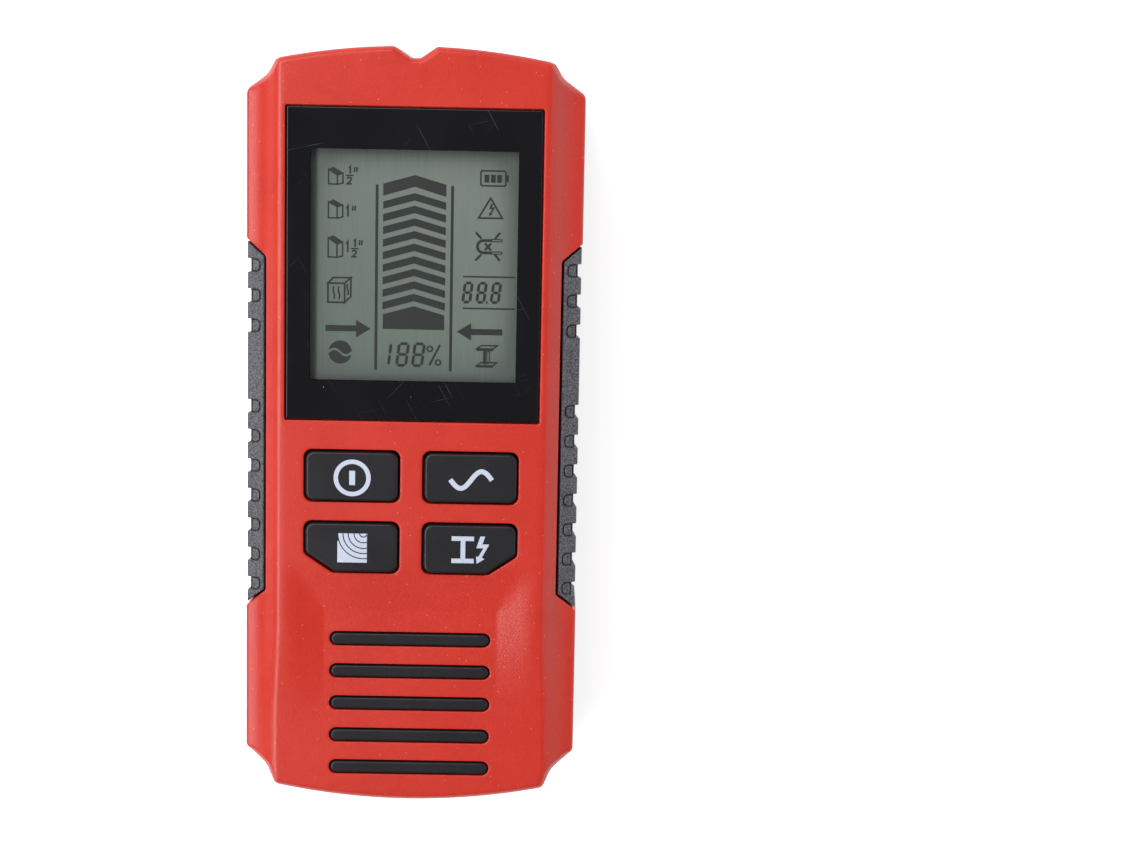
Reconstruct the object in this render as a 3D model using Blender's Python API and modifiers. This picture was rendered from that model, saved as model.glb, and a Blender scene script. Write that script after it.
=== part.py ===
"""Handheld stud finder (wall scanner) as an assembly of separate pieces.

Metres. The scanner lies on its back on z = 0: +Z points out of the screen,
+Y towards the end with the marking notch, X runs across the width.
Left and right are as the user sees them when facing the screen.
"""

import math

import bmesh
import bpy
from mathutils import Matrix, Vector

# Overall size
LENGTH = 0.150
WIDTH = 0.066
PLATEAU_Z = 0.030
PARTING_Z = 0.013
GAP = 0.0003
OVERSHOOT = 0.001
FLOOR_Z = 0.0022
CEILING_Z = 0.0272

# Outline of the case seen from above
END_RADIUS = 0.133
NOTCH_HALF = 0.00415
NOTCH_FLAT_HALF = 0.0009
NOTCH_DEPTH = 0.00225
SHOULDER_X = 0.0270
WAIST = (0.0286, 0.0694)
SIDE_CORNER_Y = 0.0663
REAR_WAIST = (0.0286, 0.0686)
REAR_SIDE_CORNER_Y = 0.0647
SHOULDER_ROUND = 0.0009
WAIST_ROUND = 0.0050
SIDE_ROUND = 0.0018
END_STEPS = 8

# Hollowed flanks and sunken lower panel
CREST_X = 0.0269
LIP_Z = 0.0262
COVE_STEPS = 7
PANEL_Z = 0.0288
PANEL_HALF = 0.0168
PANEL_TOP_Y = -0.0362
PANEL_SLOPE = 0.0068

# Hollow of the two cases
CAVITY_X = 0.031
REAR_CAVITY_X = 0.0302
CAVITY_CORNER = (0.0252, 0.0700)
CAVITY_SIDE_Y = 0.0646
CAVITY_NOTCH_Y = 0.0707
CAVITY_REAR_Y = 0.0727
UPPER_CAVITY_X = 0.0252
UPPER_CAVITY_Z = 0.0225
POCKET_WALL_X = 0.0269
POCKET_WALL_Y = (-0.0346, 0.0363)
POCKET_WALL_SLANT = 0.0034

# Side grips
GRIP_X = 0.0289
GRIP_OUTER_X = 0.0327
UNDER_GRIP_X = 0.0319
GRIP_Z = 0.016
GRIP_TOP_Y = 0.0341
GRIP_BOTTOM_Y = -0.0323
GRIP_SLANT = 0.83
GRIP_DROP = 0.00025
SCALLOP_RADIUS = 0.0017
SCALLOP_DEPTH = 0.0006
SCALLOP_PITCH = 0.00593
UPPER_SCALLOP_Y = 0.0322
UPPER_SCALLOPS = 3
LOWER_SCALLOP_Y = 0.0044
LOWER_SCALLOPS = 7

# Display
WINDOW_CENTRE_Y = 0.03285
WINDOW_SIZE = (0.0500, 0.0612)
WINDOW_CLEARANCE = 0.00025
WINDOW_Z = (0.02885, 0.02985)
REBATE_Z = 0.0283
REBATE_LEDGE = 0.0024
GASKET_Z = (0.02842, 0.02872)
GASKET_INNER = (0.0458, 0.0568)
LCD_SIZE = (0.0444, 0.0520)
LCD_Z = (0.0263, 0.0280)
LCD_FRAME_SIZE = (0.0450, 0.0440)
LCD_FRAME_WINDOW = (0.0400, 0.0400)
LCD_FRAME_Z = (0.0239, 0.0260)
CONNECTOR_SIZE = (0.0420, 0.0022)
CONNECTOR_OFFSET = 0.0240

# Keys: openings, caps and the switches below them
KEY_X = 0.01165
KEY_ROWS = (-0.00865, -0.02285)
KEY_OPENING = (0.0189, 0.01045)
KEY_CAP = (0.0181, 0.00965)
KEY_FLANGE = (0.0199, 0.01145)
KEY_ROUND = 0.0016
KEY_SLANT = (0.0057, 0.0038)
KEY_TOP_Z = 0.0307
KEY_FLANGE_Z = (0.0259, 0.0268)
KEY_EDGE = 0.0005
SWITCH_SIZE = 0.006
SWITCH_Z = (0.0239, 0.0251)
SWITCH_BORE = 0.0015
PLUNGER_RADIUS = 0.0012
PLUNGER_Z = (0.0245, 0.0256)

# Ribs of the lower panel
RIB_COUNT = 5
RIB_FIRST_Y = -0.04155
RIB_PITCH = 0.00656
RIB_HALF = 0.0160
RIB_WIDTH = 0.0023
RIB_SLOT_GAP = 0.0003
RIB_TOP_Z = 0.0291
RIB_BACK_Z = (0.0259, 0.0269)
RIB_BACK_HALF = 0.0176
RIB_BACK_Y = (-0.0706, -0.0386)

# Boards and what stands on them
BOARD_HALF = 0.0247
BOARD_Y = (-0.0340, 0.0610)
BOARD_Z = (0.0224, 0.0236)
POST_RADIUS = 0.0022
POST_X = 0.0229
POST_ROWS = (0.0008, -0.0312)
BOARD_SCREW_BORE = 0.00105
BOARD_SCREW_SHANK = 0.0008
BOARD_SCREW_HEAD = 0.0018
BOARD_SCREW_Z = (0.0209, 0.0221, 0.0258)
PROCESSOR = ((0.0, 0.028), (0.010, 0.010), 0.0014)
AMPLIFIER = ((-0.012, 0.010), (0.0060, 0.0050), 0.0014)
BUZZER = ((0.0125, -0.0065), 0.0060, 0.0062)
CAPACITOR = ((-0.0130, -0.0065), 0.0032, 0.0080)
SENSOR_HALF = 0.0270
SENSOR_Y = (0.0040, 0.0600)
SENSOR_Z = (0.0025, 0.0037)
COIL_CENTRE = (0.0, 0.0380)
COIL_Z = (0.0040, 0.0100)
COIL_FLANGE = 0.0012
COIL_RADII = (0.0043, 0.0090, 0.0165, 0.0175)
RIBBON_Y = 0.0120
RIBBON_WIDTH = 0.014
RIBBON_THICKNESS = 0.0008
RIBBON_BOW = 0.0024
RIBBON_STEPS = 6
SOCKET_SIZE = (0.0160, 0.0040, 0.0035)

# Battery, its bay and its door
BAY_HALF = 0.0137
BAY_Y = (-0.0704, -0.0174)
BAY_TOP_Z = 0.0209
BAY_WALL = 0.0013
BAY_ROOF = 0.0011
BATTERY_HALF = 0.01325
BATTERY_BODY_Y = (-0.0700, -0.0236)
BATTERY_Z = (0.0025, 0.0200)
BATTERY_ROUND = 0.0015
TERMINAL_X = 0.00635
TERMINAL_RADII = (0.0029, 0.0039)
TERMINAL_END_Y = -0.0215
SNAP_HALF = 0.0120
SNAP_Y = (-0.0211, -0.0179)
SNAP_Z = (0.0055, 0.0182)
LEAD_RADIUS = 0.0006
LEAD_X = 0.0045
LEAD_HOLE = (0.0070, 0.0098, 0.0138)
LEAD_SAMPLES = 3
FOAM_HALF = 0.0110
FOAM_Y = (-0.0640, -0.0280)
FOAM_Z = (0.0202, 0.0207)
RAIL_HALF = 0.0188
RAIL_TOP_Z = 0.0036
RECESS_HALF = 0.0162
RECESS_TOP_Z = 0.0022
RECESS_HEAD_Y = -0.0160
GROOVE_HALF = 0.0172
GROOVE_Z = (0.0009, 0.0018)
GROOVE_HEAD_Y = -0.0230
DOOR_HALF = 0.0159
DOOR_HEAD_Y = -0.0163
DOOR_Z = (0.0002, 0.0019)
TONGUE_HALF = 0.0168
TONGUE_Z = (0.0012, 0.0015)
TONGUE_Y = (-0.0690, -0.0240)
DOOR_RIDGES = 4
DOOR_RIDGE_PITCH = 0.0024

# Case screws
CASE_SCREWS = ((0.0235, 0.0650), (0.0230, -0.0655))
BOSS_RADIUS = 0.0034
BOSS_BORE = 0.0013
SCREW_CLEARANCE = 0.0016
SCREW_SEAT_Z = 0.0080
HEAD_HOLE = 0.0031
SCREW_HEAD = 0.0027
SCREW_HEAD_Z = (0.0059, 0.0077)
SCREW_SHANK = 0.0010
SCREW_TOP_Z = 0.0205
BOSS_BORE_TOP_Z = 0.0222

ROUND = 24
SMALL_ROUND = 12


# ---------------------------------------------------------------- helpers


def clear_scene():
    """Remove what the scene holds."""
    for thing in list(bpy.data.objects):
        bpy.data.objects.remove(thing, do_unlink=True)


def new_collection(name):
    """A collection linked to the scene."""
    made = bpy.data.collections.new(name)
    bpy.context.scene.collection.children.link(made)
    return made


def finish(name, colour, roughness, metallic=0.0):
    """A Principled material."""
    made = bpy.data.materials.new(name)
    made.use_nodes = True
    shader = made.node_tree.nodes["Principled BSDF"]
    shader.inputs["Base Color"].default_value = (*colour, 1.0)
    shader.inputs["Roughness"].default_value = roughness
    shader.inputs["Metallic"].default_value = metallic
    return made


def place(name, mesh, location, material=None):
    """Put a mesh in the scene: a piece where it has a material, else a tool."""
    thing = bpy.data.objects.new(name, mesh)
    thing.location = location
    if material:
        mesh.materials.clear()
        mesh.materials.append(material)
        mesh.shade_smooth()
        mesh.set_sharp_from_angle(angle=math.radians(35))
        PIECES.objects.link(thing)
    else:
        thing.hide_render = True
        thing.display_type = "WIRE"
        TOOLS.objects.link(thing)
    return thing


def box(name, low, high, material=None):
    """A block between two corners, its origin at its centre."""
    low, high = Vector(low), Vector(high)
    shape = bmesh.new()
    bmesh.ops.create_cube(shape, size=1.0)
    bmesh.ops.scale(shape, vec=high - low, verts=shape.verts)
    mesh = bpy.data.meshes.new(name)
    shape.to_mesh(mesh)
    shape.free()
    return place(name, mesh, (low + high) / 2, material)


def cylinder(name, radius, at, z_range, material=None, segments=ROUND, along="Z"):
    """A round bar along Z, or along Y where at is (x, z) and z_range is in y."""
    middle = (z_range[0] + z_range[1]) / 2
    shape = bmesh.new()
    bmesh.ops.create_cone(
        shape, cap_ends=True, segments=segments, radius1=radius, radius2=radius,
        depth=z_range[1] - z_range[0],
    )
    if along == "Y":
        turn = Matrix.Rotation(math.radians(90), 3, "X")
        bmesh.ops.rotate(shape, cent=(0, 0, 0), matrix=turn, verts=shape.verts)
    mesh = bpy.data.meshes.new(name)
    shape.to_mesh(mesh)
    shape.free()
    centre = (at[0], middle, at[1]) if along == "Y" else (at[0], at[1], middle)
    return place(name, mesh, centre, material)


def prism(name, loops, low, high, material=None, at=(0.0, 0.0), along="Z"):
    """A flat outline with any holes, drawn as a 2D curve and given a thickness.

    Along Z the outline is in x and y, and low and high are in z; along Y it is
    in x and z, and low and high are in y; along X it is in y and z.
    """
    curve = bpy.data.curves.new(name, "CURVE")
    curve.dimensions = "2D"
    curve.fill_mode = "BOTH"
    curve.extrude = (high - low) / 2
    for points in loops:
        spline = curve.splines.new("POLY")
        spline.points.add(len(points) - 1)
        for target, (a, b) in zip(spline.points, points):
            target.co = (a, b, 0.0, 1.0)
        spline.use_cyclic_u = True
    drawn = bpy.data.objects.new(name, curve)
    middle = (low + high) / 2
    if along == "Z":
        drawn.location = (at[0], at[1], middle)
    elif along == "Y":
        drawn.location = (at[0], middle, at[1])
        drawn.rotation_euler = (math.radians(90), 0, 0)
    else:
        drawn.location = (middle, at[0], at[1])
        drawn.rotation_euler = (math.radians(90), 0, math.radians(90))
    return curve_to_mesh(name, drawn, material)


def curve_to_mesh(name, drawn, material):
    """Turn a curve object into a mesh object with welded caps."""
    TOOLS.objects.link(drawn)
    depsgraph = bpy.context.evaluated_depsgraph_get()
    mesh = bpy.data.meshes.new_from_object(drawn.evaluated_get(depsgraph))
    shape = bmesh.new()
    shape.from_mesh(mesh)
    bmesh.ops.remove_doubles(shape, verts=shape.verts, dist=0.000001)
    bmesh.ops.recalc_face_normals(shape, faces=shape.faces)
    shape.to_mesh(mesh)
    shape.free()
    made = place(name, mesh, (0, 0, 0), material)
    made.matrix_world = drawn.matrix_world
    bpy.data.objects.remove(drawn, do_unlink=True)
    made.name = name
    return made


def hull(name, points):
    """The smallest convex block round a few points, as a tool."""
    shape = bmesh.new()
    for point in points:
        shape.verts.new(point)
    bmesh.ops.convex_hull(shape, input=shape.verts)
    bmesh.ops.recalc_face_normals(shape, faces=shape.faces)
    mesh = bpy.data.meshes.new(name)
    shape.to_mesh(mesh)
    shape.free()
    return place(name, mesh, (0, 0, 0))


def turned(name, profile, at, material):
    """A ring or spool: a closed profile of (radius, z) turned about Z."""
    mesh = bpy.data.meshes.new(name)
    edges = [(i, (i + 1) % len(profile)) for i in range(len(profile))]
    mesh.from_pydata([(radius, 0.0, z) for radius, z in profile], edges, [])
    made = place(name, mesh, (at[0], at[1], 0.0), material)
    screw = made.modifiers.new("turn", "SCREW")
    screw.steps = ROUND
    screw.render_steps = ROUND
    screw.use_merge_vertices = True
    screw.merge_threshold = 0.000001
    return made


def tube(name, points, radius, material):
    """A round lead through the points."""
    curve = bpy.data.curves.new(name, "CURVE")
    curve.dimensions = "3D"
    curve.bevel_depth = radius
    curve.bevel_resolution = 2
    curve.use_fill_caps = True
    spline = curve.splines.new("POLY")
    spline.points.add(len(points) - 1)
    for target, point in zip(spline.points, points):
        target.co = (*point, 1.0)
    return curve_to_mesh(name, bpy.data.objects.new(name, curve), material)


def boolean(target, tools, operation):
    """Add one Boolean for each tool."""
    for tool in tools:
        change = target.modifiers.new(tool.name, "BOOLEAN")
        change.operation = operation
        change.solver = "EXACT"
        change.object = tool


def cut(target, *tools):
    """Take the tools away from the target."""
    boolean(target, tools, "DIFFERENCE")


def join(target, *tools):
    """Make the tools one body with the target."""
    boolean(target, tools, "UNION")


def soften(target, width, segments=2, angle=60):
    """Round the target's sharp edges."""
    bevel = target.modifiers.new("soft edges", "BEVEL")
    bevel.width = width
    bevel.segments = segments
    bevel.limit_method = "ANGLE"
    bevel.angle_limit = math.radians(angle)


def slide_axis(name, location, riders):
    """An empty on a joint's axis, with the pieces that move along it."""
    axis = bpy.data.objects.new(name, None)
    axis.location = location
    PIECES.objects.link(axis)
    undo = Matrix.Translation(location).inverted()
    for rider in riders:
        rider.parent = axis
        rider.matrix_parent_inverse = undo


# ---------------------------------------------------------------- outlines


def arc_between(centre, radius, start, end, steps):
    """Points on a circle from the start angle to the end angle."""
    angles = [start + (end - start) * i / steps for i in range(steps + 1)]
    return [(centre[0] + radius * math.cos(a), centre[1] + radius * math.sin(a)) for a in angles]


def rounded(points, radii, steps=3):
    """A closed outline whose corners are arcs of the given radii."""
    made = []
    count = len(points)
    for i, radius in enumerate(radii):
        corner = Vector(points[i])
        if radius <= 0:
            made.append(tuple(corner))
            continue
        back = (Vector(points[i - 1]) - corner).normalized()
        ahead = (Vector(points[(i + 1) % count]) - corner).normalized()
        half = back.angle(ahead) / 2
        centre = corner + (back + ahead).normalized() * radius / math.sin(half)
        first = corner + back * radius / math.tan(half) - centre
        last = corner + ahead * radius / math.tan(half) - centre
        for step in range(steps + 1):
            spoke = first.slerp(last, step / steps) if step else first
            made.append(tuple(centre + spoke.normalized() * radius))
    return made


def rectangle(size, radius=0.0, centre=(0.0, 0.0)):
    """A rectangle, with rounded corners where a radius is given."""
    x, y = size[0] / 2, size[1] / 2
    corners = [(-x, -y), (x, -y), (x, y), (-x, y)]
    corners = [(a + centre[0], b + centre[1]) for a, b in corners]
    return rounded(corners, [radius] * 4)


def end_y(x, crown=LENGTH / 2):
    """How far the bowed end of the case reaches at a place across it."""
    return crown - END_RADIUS + math.sqrt(END_RADIUS**2 - x**2)


def mirrored(half):
    """A half outline from the middle of the +Y end round to the -Y end, made whole."""
    return half + [(-x, y) for x, y in reversed(half) if x > 0]


def case_outline():
    """The case seen from above: bowed ends, waisted corners, a notch at +Y."""
    crown = LENGTH / 2 + (END_RADIUS - math.sqrt(END_RADIUS**2 - NOTCH_HALF**2))
    spread = [SHOULDER_X * k / END_STEPS for k in range(2, END_STEPS)]
    notch = [
        (NOTCH_FLAT_HALF, LENGTH / 2 - NOTCH_DEPTH),
        (NOTCH_HALF, LENGTH / 2),
    ]
    top = [(x, end_y(x, crown)) for x in spread]
    corner = [(SHOULDER_X, end_y(SHOULDER_X)), WAIST, (WIDTH / 2, SIDE_CORNER_Y)]
    rear_corner = [
        (WIDTH / 2, -REAR_SIDE_CORNER_Y), (REAR_WAIST[0], -REAR_WAIST[1]),
        (SHOULDER_X, -end_y(SHOULDER_X)),
    ]
    reach = GRIP_SLANT * (WIDTH / 2 - GRIP_X) + GAP
    step = GRIP_SLANT * (UNDER_GRIP_X - GRIP_X) + GAP
    under_grip = [
        (WIDTH / 2, GRIP_TOP_Y + reach), (UNDER_GRIP_X, GRIP_TOP_Y + step),
        (UNDER_GRIP_X, GRIP_BOTTOM_Y - step), (WIDTH / 2, GRIP_BOTTOM_Y - reach),
    ]
    rear = [(x, -end_y(x)) for x in reversed(spread)]
    turns = [SHOULDER_ROUND, WAIST_ROUND, SIDE_ROUND]
    points = notch + top + corner + under_grip + rear_corner + rear
    flat = [0] * len(spread)
    radii = [0, 0] + flat + turns + [0] * 4 + turns[::-1] + flat
    whole = points + [(0.0, -LENGTH / 2)] + [(-x, y) for x, y in reversed(points)]
    return rounded(whole, radii + [0] + radii[::-1])


def cavity_outline(side_x, pocket):
    """The hollow seen from above; with a pocket it steps in behind the grips."""
    spread = [0.0, CAVITY_CORNER[0] / 2, CAVITY_CORNER[0]]
    half = [(x, end_y(x, CAVITY_NOTCH_Y) if x else CAVITY_NOTCH_Y) for x in spread]
    if side_x > CAVITY_CORNER[0]:
        half.append((side_x, CAVITY_SIDE_Y))
    if pocket:
        low, high = POCKET_WALL_Y
        half.append((side_x, high + POCKET_WALL_SLANT))
        half.append((POCKET_WALL_X, high))
        half.append((POCKET_WALL_X, low))
        half.append((side_x, low - POCKET_WALL_SLANT))
    if side_x > CAVITY_CORNER[0]:
        half.append((side_x, -CAVITY_SIDE_Y))
    half += [(x, -end_y(x, CAVITY_REAR_Y)) for x in reversed(spread)]
    return mirrored(half)


def cove_profile(side, drop):
    """What the hollowed flank takes off, in x and z: steep at the crest, flat at the lip."""
    reach = WIDTH / 2 - CREST_X
    points = []
    for step in range(COVE_STEPS + 1):
        share = step / COVE_STEPS
        height = LIP_Z + (PLATEAU_Z - LIP_Z) * (1 - share) ** 2 - drop
        points.append((side * (CREST_X + reach * share), height))
    outside = WIDTH / 2 + OVERSHOOT
    above = PLATEAU_Z + OVERSHOOT
    points.append((side * outside, LIP_Z - drop))
    points.append((side * outside, above))
    points.append((side * CREST_X, above))
    return points


def grip_plan(side, gap, outer):
    """A grip seen from above: a long pad with slanted ends."""
    inner = GRIP_X + gap
    shift = gap * math.hypot(1, GRIP_SLANT)

    def slant(x):
        return GRIP_SLANT * (x - GRIP_X) - shift

    points = [
        (inner, GRIP_BOTTOM_Y - slant(inner)),
        (outer, GRIP_BOTTOM_Y - slant(outer)),
        (outer, GRIP_TOP_Y + slant(outer)),
        (inner, GRIP_TOP_Y + slant(inner)),
    ]
    return [(side * x, y) for x, y in points]


def key_plan(size, side, slanted):
    """A key seen from above; a slanted one lacks its outer lower corner."""
    if not slanted:
        return rectangle(size, KEY_ROUND)
    x, y = size[0] / 2, size[1] / 2
    across, up = KEY_SLANT
    points = [(-x, -y), (x - across, -y), (x, -y + up), (x, y), (-x, y)]
    radii = [KEY_ROUND, KEY_ROUND / 2, KEY_ROUND / 2, KEY_ROUND, KEY_ROUND]
    return [(side * a, b) for a, b in rounded(points, radii)]


def slot_plan(half, width, centre_y):
    """A long slot across X with round ends."""
    radius = width / 2
    right = arc_between((half - radius, centre_y), radius, -math.pi / 2, math.pi / 2, 4)
    left = arc_between((radius - half, centre_y), radius, math.pi / 2, math.pi * 1.5, 4)
    return right + left


def smooth_path(points, samples):
    """A smooth curve through the points, read at a few places between each pair."""
    knots = [Vector(p) for p in [points[0], *points, points[-1]]]
    path = []
    for i in range(1, len(knots) - 2):
        a, b, c, d = knots[i - 1:i + 3]
        for k in range(samples):
            t = k / samples
            path.append(
                ((2 * b) + (c - a) * t + (2 * a - 5 * b + 4 * c - d) * t**2
                 + (3 * b - a - 3 * c + d) * t**3) / 2
            )
    path.append(knots[-1])
    return path


# ---------------------------------------------------------------- keys


def key_list():
    """Name, side, row and whether the outer lower corner is slanted."""
    return (
        ("power", -1, 0, False),
        ("ac", 1, 0, False),
        ("wood", -1, 1, True),
        ("metal", 1, 1, True),
    )


def make_keys(rubber, dark, steel):
    """Four keys, each over a switch whose plunger moves with it."""
    for label, side, row, slanted in key_list():
        at = (side * KEY_X, KEY_ROWS[row])
        key = prism(
            f"{label}_key", [key_plan(KEY_CAP, side, slanted)],
            KEY_FLANGE_Z[1] - GAP, KEY_TOP_Z, rubber, at,
        )
        soften(key, KEY_EDGE)
        flange = prism(
            f"{label}_flange", [key_plan(KEY_FLANGE, side, slanted)], *KEY_FLANGE_Z, at=at,
        )
        join(key, flange)
        reach = SWITCH_SIZE / 2
        switch = box(
            f"{label}_switch",
            (at[0] - reach, at[1] - reach, SWITCH_Z[0]),
            (at[0] + reach, at[1] + reach, SWITCH_Z[1]),
            steel,
        )
        bore_z = (SWITCH_Z[0] - OVERSHOOT, SWITCH_Z[1] + OVERSHOOT)
        cut(switch, cylinder(f"{label}_bore", SWITCH_BORE, at, bore_z))
        plunger = cylinder(f"{label}_plunger", PLUNGER_RADIUS, at, PLUNGER_Z, dark)
        slide_axis(f"{label}_axis", (*at, KEY_TOP_Z), [key, plunger])


# ---------------------------------------------------------------- cases


def case_bosses(label, z_range, bore, bore_z):
    """Four screw bosses and their bores."""
    bosses, bores = [], []
    for row, (x, y) in enumerate(CASE_SCREWS):
        for side in (-1, 1):
            tag = f"{label}_{row}_{'left' if side < 0 else 'right'}"
            at = (side * x, y)
            bosses.append(cylinder(f"{tag}_boss", BOSS_RADIUS, at, z_range))
            bores.append(cylinder(f"{tag}_bore", bore, at, bore_z, segments=SMALL_ROUND))
    return bosses, bores


def make_front_case(plastic):
    """Front shell with its openings, grip pockets, bosses and board posts."""
    case = prism("front_case", [case_outline()], PARTING_Z + GAP, PLATEAU_Z, plastic)
    cavity_floor = PARTING_Z - OVERSHOOT
    hollows = [
        prism("lower_hollow", [cavity_outline(CAVITY_X, True)], cavity_floor, UPPER_CAVITY_Z),
        prism("upper_hollow", [cavity_outline(UPPER_CAVITY_X, False)], cavity_floor, CEILING_Z),
    ]
    cut(case, *hollows)
    for side, name in ((-1, "left"), (1, "right")):
        reach = LENGTH / 2 + OVERSHOOT
        cut(case, prism(f"{name}_cove", [cove_profile(side, 0)], -reach, reach, along="Y"))
        pocket = grip_plan(side, 0, WIDTH / 2 + OVERSHOOT)
        cut(case, prism(f"{name}_pocket", [pocket], GRIP_Z, PLATEAU_Z + OVERSHOOT))
    cut(case, panel_tool())
    for row, y in enumerate(rib_rows()):
        slot = slot_plan(RIB_HALF + RIB_SLOT_GAP, RIB_WIDTH + 2 * RIB_SLOT_GAP, y)
        cut(case, prism(f"rib_slot_{row}", [slot], CEILING_Z - OVERSHOOT, PLATEAU_Z))
    for label, side, row, slanted in key_list():
        opening = key_plan(KEY_OPENING, side, slanted)
        at = (side * KEY_X, KEY_ROWS[row])
        low, high = CEILING_Z - OVERSHOOT, PLATEAU_Z + OVERSHOOT
        cut(case, prism(f"{label}_opening", [opening], low, high, at=at))
    ledge = 2 * REBATE_LEDGE
    through = (WINDOW_SIZE[0] - ledge, WINDOW_SIZE[1] - ledge)
    window_at = (0.0, WINDOW_CENTRE_Y)
    above = PLATEAU_Z + OVERSHOOT
    rebate = prism("rebate", [rectangle(WINDOW_SIZE, GAP)], REBATE_Z, above, at=window_at)
    below = CEILING_Z - OVERSHOOT
    opening = prism("window_opening", [rectangle(through)], below, above, at=window_at)
    cut(case, rebate, opening)
    boss_z = (PARTING_Z + GAP, CEILING_Z + GAP)
    bore_z = (PARTING_Z - OVERSHOOT, BOSS_BORE_TOP_Z)
    bosses, bores = case_bosses("front", boss_z, BOSS_BORE, bore_z)
    posts, pilots = [], []
    post_z = (BOARD_Z[1] + GAP, CEILING_Z + GAP)
    pilot_z = (BOARD_Z[1], BOARD_SCREW_Z[2] + GAP)
    for name, at in board_fixings():
        posts.append(cylinder(f"{name}_post", POST_RADIUS, at, post_z))
        pilot = cylinder(f"{name}_pilot", BOARD_SCREW_BORE, at, pilot_z, segments=SMALL_ROUND)
        pilots.append(pilot)
    join(case, *bosses, *posts)
    cut(case, *bores, *pilots)


def panel_tool():
    """The block that sinks the lower panel, with sloping sides and head."""
    far = -LENGTH / 2 - OVERSHOOT
    above = PLATEAU_Z + OVERSHOOT
    rise = (above - PANEL_Z) / (PLATEAU_Z - PANEL_Z) * PANEL_SLOPE
    low = [(s * PANEL_HALF, y, PANEL_Z) for s in (-1, 1) for y in (PANEL_TOP_Y, far)]
    high = [(s * (PANEL_HALF + rise), y, above) for s in (-1, 1) for y in (PANEL_TOP_Y + rise, far)]
    return hull("panel_recess", low + high)


def rib_rows():
    """Where the ribs lie along the panel."""
    return [RIB_FIRST_Y - RIB_PITCH * row for row in range(RIB_COUNT)]


def board_fixings():
    """Name and place of each board screw."""
    rows = ("upper", "lower")
    return [
        (f"board_screw_{rows[row]}_{name}", (side * POST_X, y))
        for row, y in enumerate(POST_ROWS)
        for side, name in ((-1, "left"), (1, "right"))
    ]


def make_rear_case(plastic):
    """Back shell with the battery bay, the door's rails and the screw bosses."""
    case = prism("rear_case", [case_outline()], 0.0, PARTING_Z, plastic)
    above = PARTING_Z + OVERSHOOT
    cut(case, prism("rear_hollow", [cavity_outline(REAR_CAVITY_X, False)], FLOOR_Z, above))
    bosses, bores = case_bosses(
        "rear", (GAP, PARTING_Z), SCREW_CLEARANCE, (-OVERSHOOT, above),
    )
    wall_x = BAY_HALF + BAY_WALL
    bay = box(
        "bay_block", (-wall_x, BAY_Y[0] - BAY_WALL, GAP),
        (wall_x, BAY_Y[1] + BAY_WALL, BAY_TOP_Z + BAY_ROOF),
    )
    rails = box(
        "door_rails", (-RAIL_HALF, BAY_Y[0] - BAY_WALL, GAP),
        (RAIL_HALF, RECESS_HEAD_Y + BAY_WALL, RAIL_TOP_Z),
    )
    join(case, *bosses, bay, rails)
    bay_hollow = box(
        "bay_hollow", (-BAY_HALF, BAY_Y[0], -OVERSHOOT), (BAY_HALF, BAY_Y[1], BAY_TOP_Z),
    )
    far = -LENGTH / 2 - OVERSHOOT
    recess = box(
        "door_recess", (-RECESS_HALF, far, -OVERSHOOT),
        (RECESS_HALF, RECESS_HEAD_Y, RECESS_TOP_Z),
    )
    groove = box(
        "door_groove", (-GROOVE_HALF, far, GROOVE_Z[0]),
        (GROOVE_HALF, GROOVE_HEAD_Y, GROOVE_Z[1]),
    )
    hole_x, hole_low, hole_high = LEAD_HOLE
    lead_hole = box(
        "lead_hole", (-hole_x, BAY_Y[1] - OVERSHOOT, hole_low),
        (hole_x, BAY_Y[1] + BAY_WALL + OVERSHOOT, hole_high),
    )
    wells = []
    for row, (x, y) in enumerate(CASE_SCREWS):
        for side, name in ((-1, "left"), (1, "right")):
            well_z = (-OVERSHOOT, SCREW_SEAT_Z)
            wells.append(cylinder(f"well_{row}_{name}", HEAD_HOLE, (side * x, y), well_z))
    cut(case, bay_hollow, recess, groove, lead_hole, *bores, *wells)


def make_battery_door(plastic):
    """Sliding door with side tongues and a ridged thumb patch."""
    spread = [DOOR_HALF, DOOR_HALF / 2, 0.0]
    rear = [(x, -end_y(x) + GAP) for x in spread]
    plan = [(DOOR_HALF, DOOR_HEAD_Y), *rear]
    plan += [(-x, y) for x, y in reversed(plan) if x > 0]
    door = prism("battery_door", [plan], *DOOR_Z, plastic)
    tongue = box(
        "door_tongues", (-TONGUE_HALF, TONGUE_Y[0], TONGUE_Z[0]),
        (TONGUE_HALF, TONGUE_Y[1], TONGUE_Z[1]),
    )
    join(door, tongue)
    half = DOOR_HALF / 2
    for ridge in range(DOOR_RIDGES):
        y = TONGUE_Y[0] + DOOR_RIDGE_PITCH * ridge
        low = (-half, y, DOOR_Z[0] - OVERSHOOT)
        high = (half, y + DOOR_RIDGE_PITCH / 2, DOOR_Z[0] + GAP)
        cut(door, box(f"thumb_groove_{ridge}", low, high))
    slide_axis("door_axis", (0.0, -LENGTH / 2, DOOR_Z[0]), [door])


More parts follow.
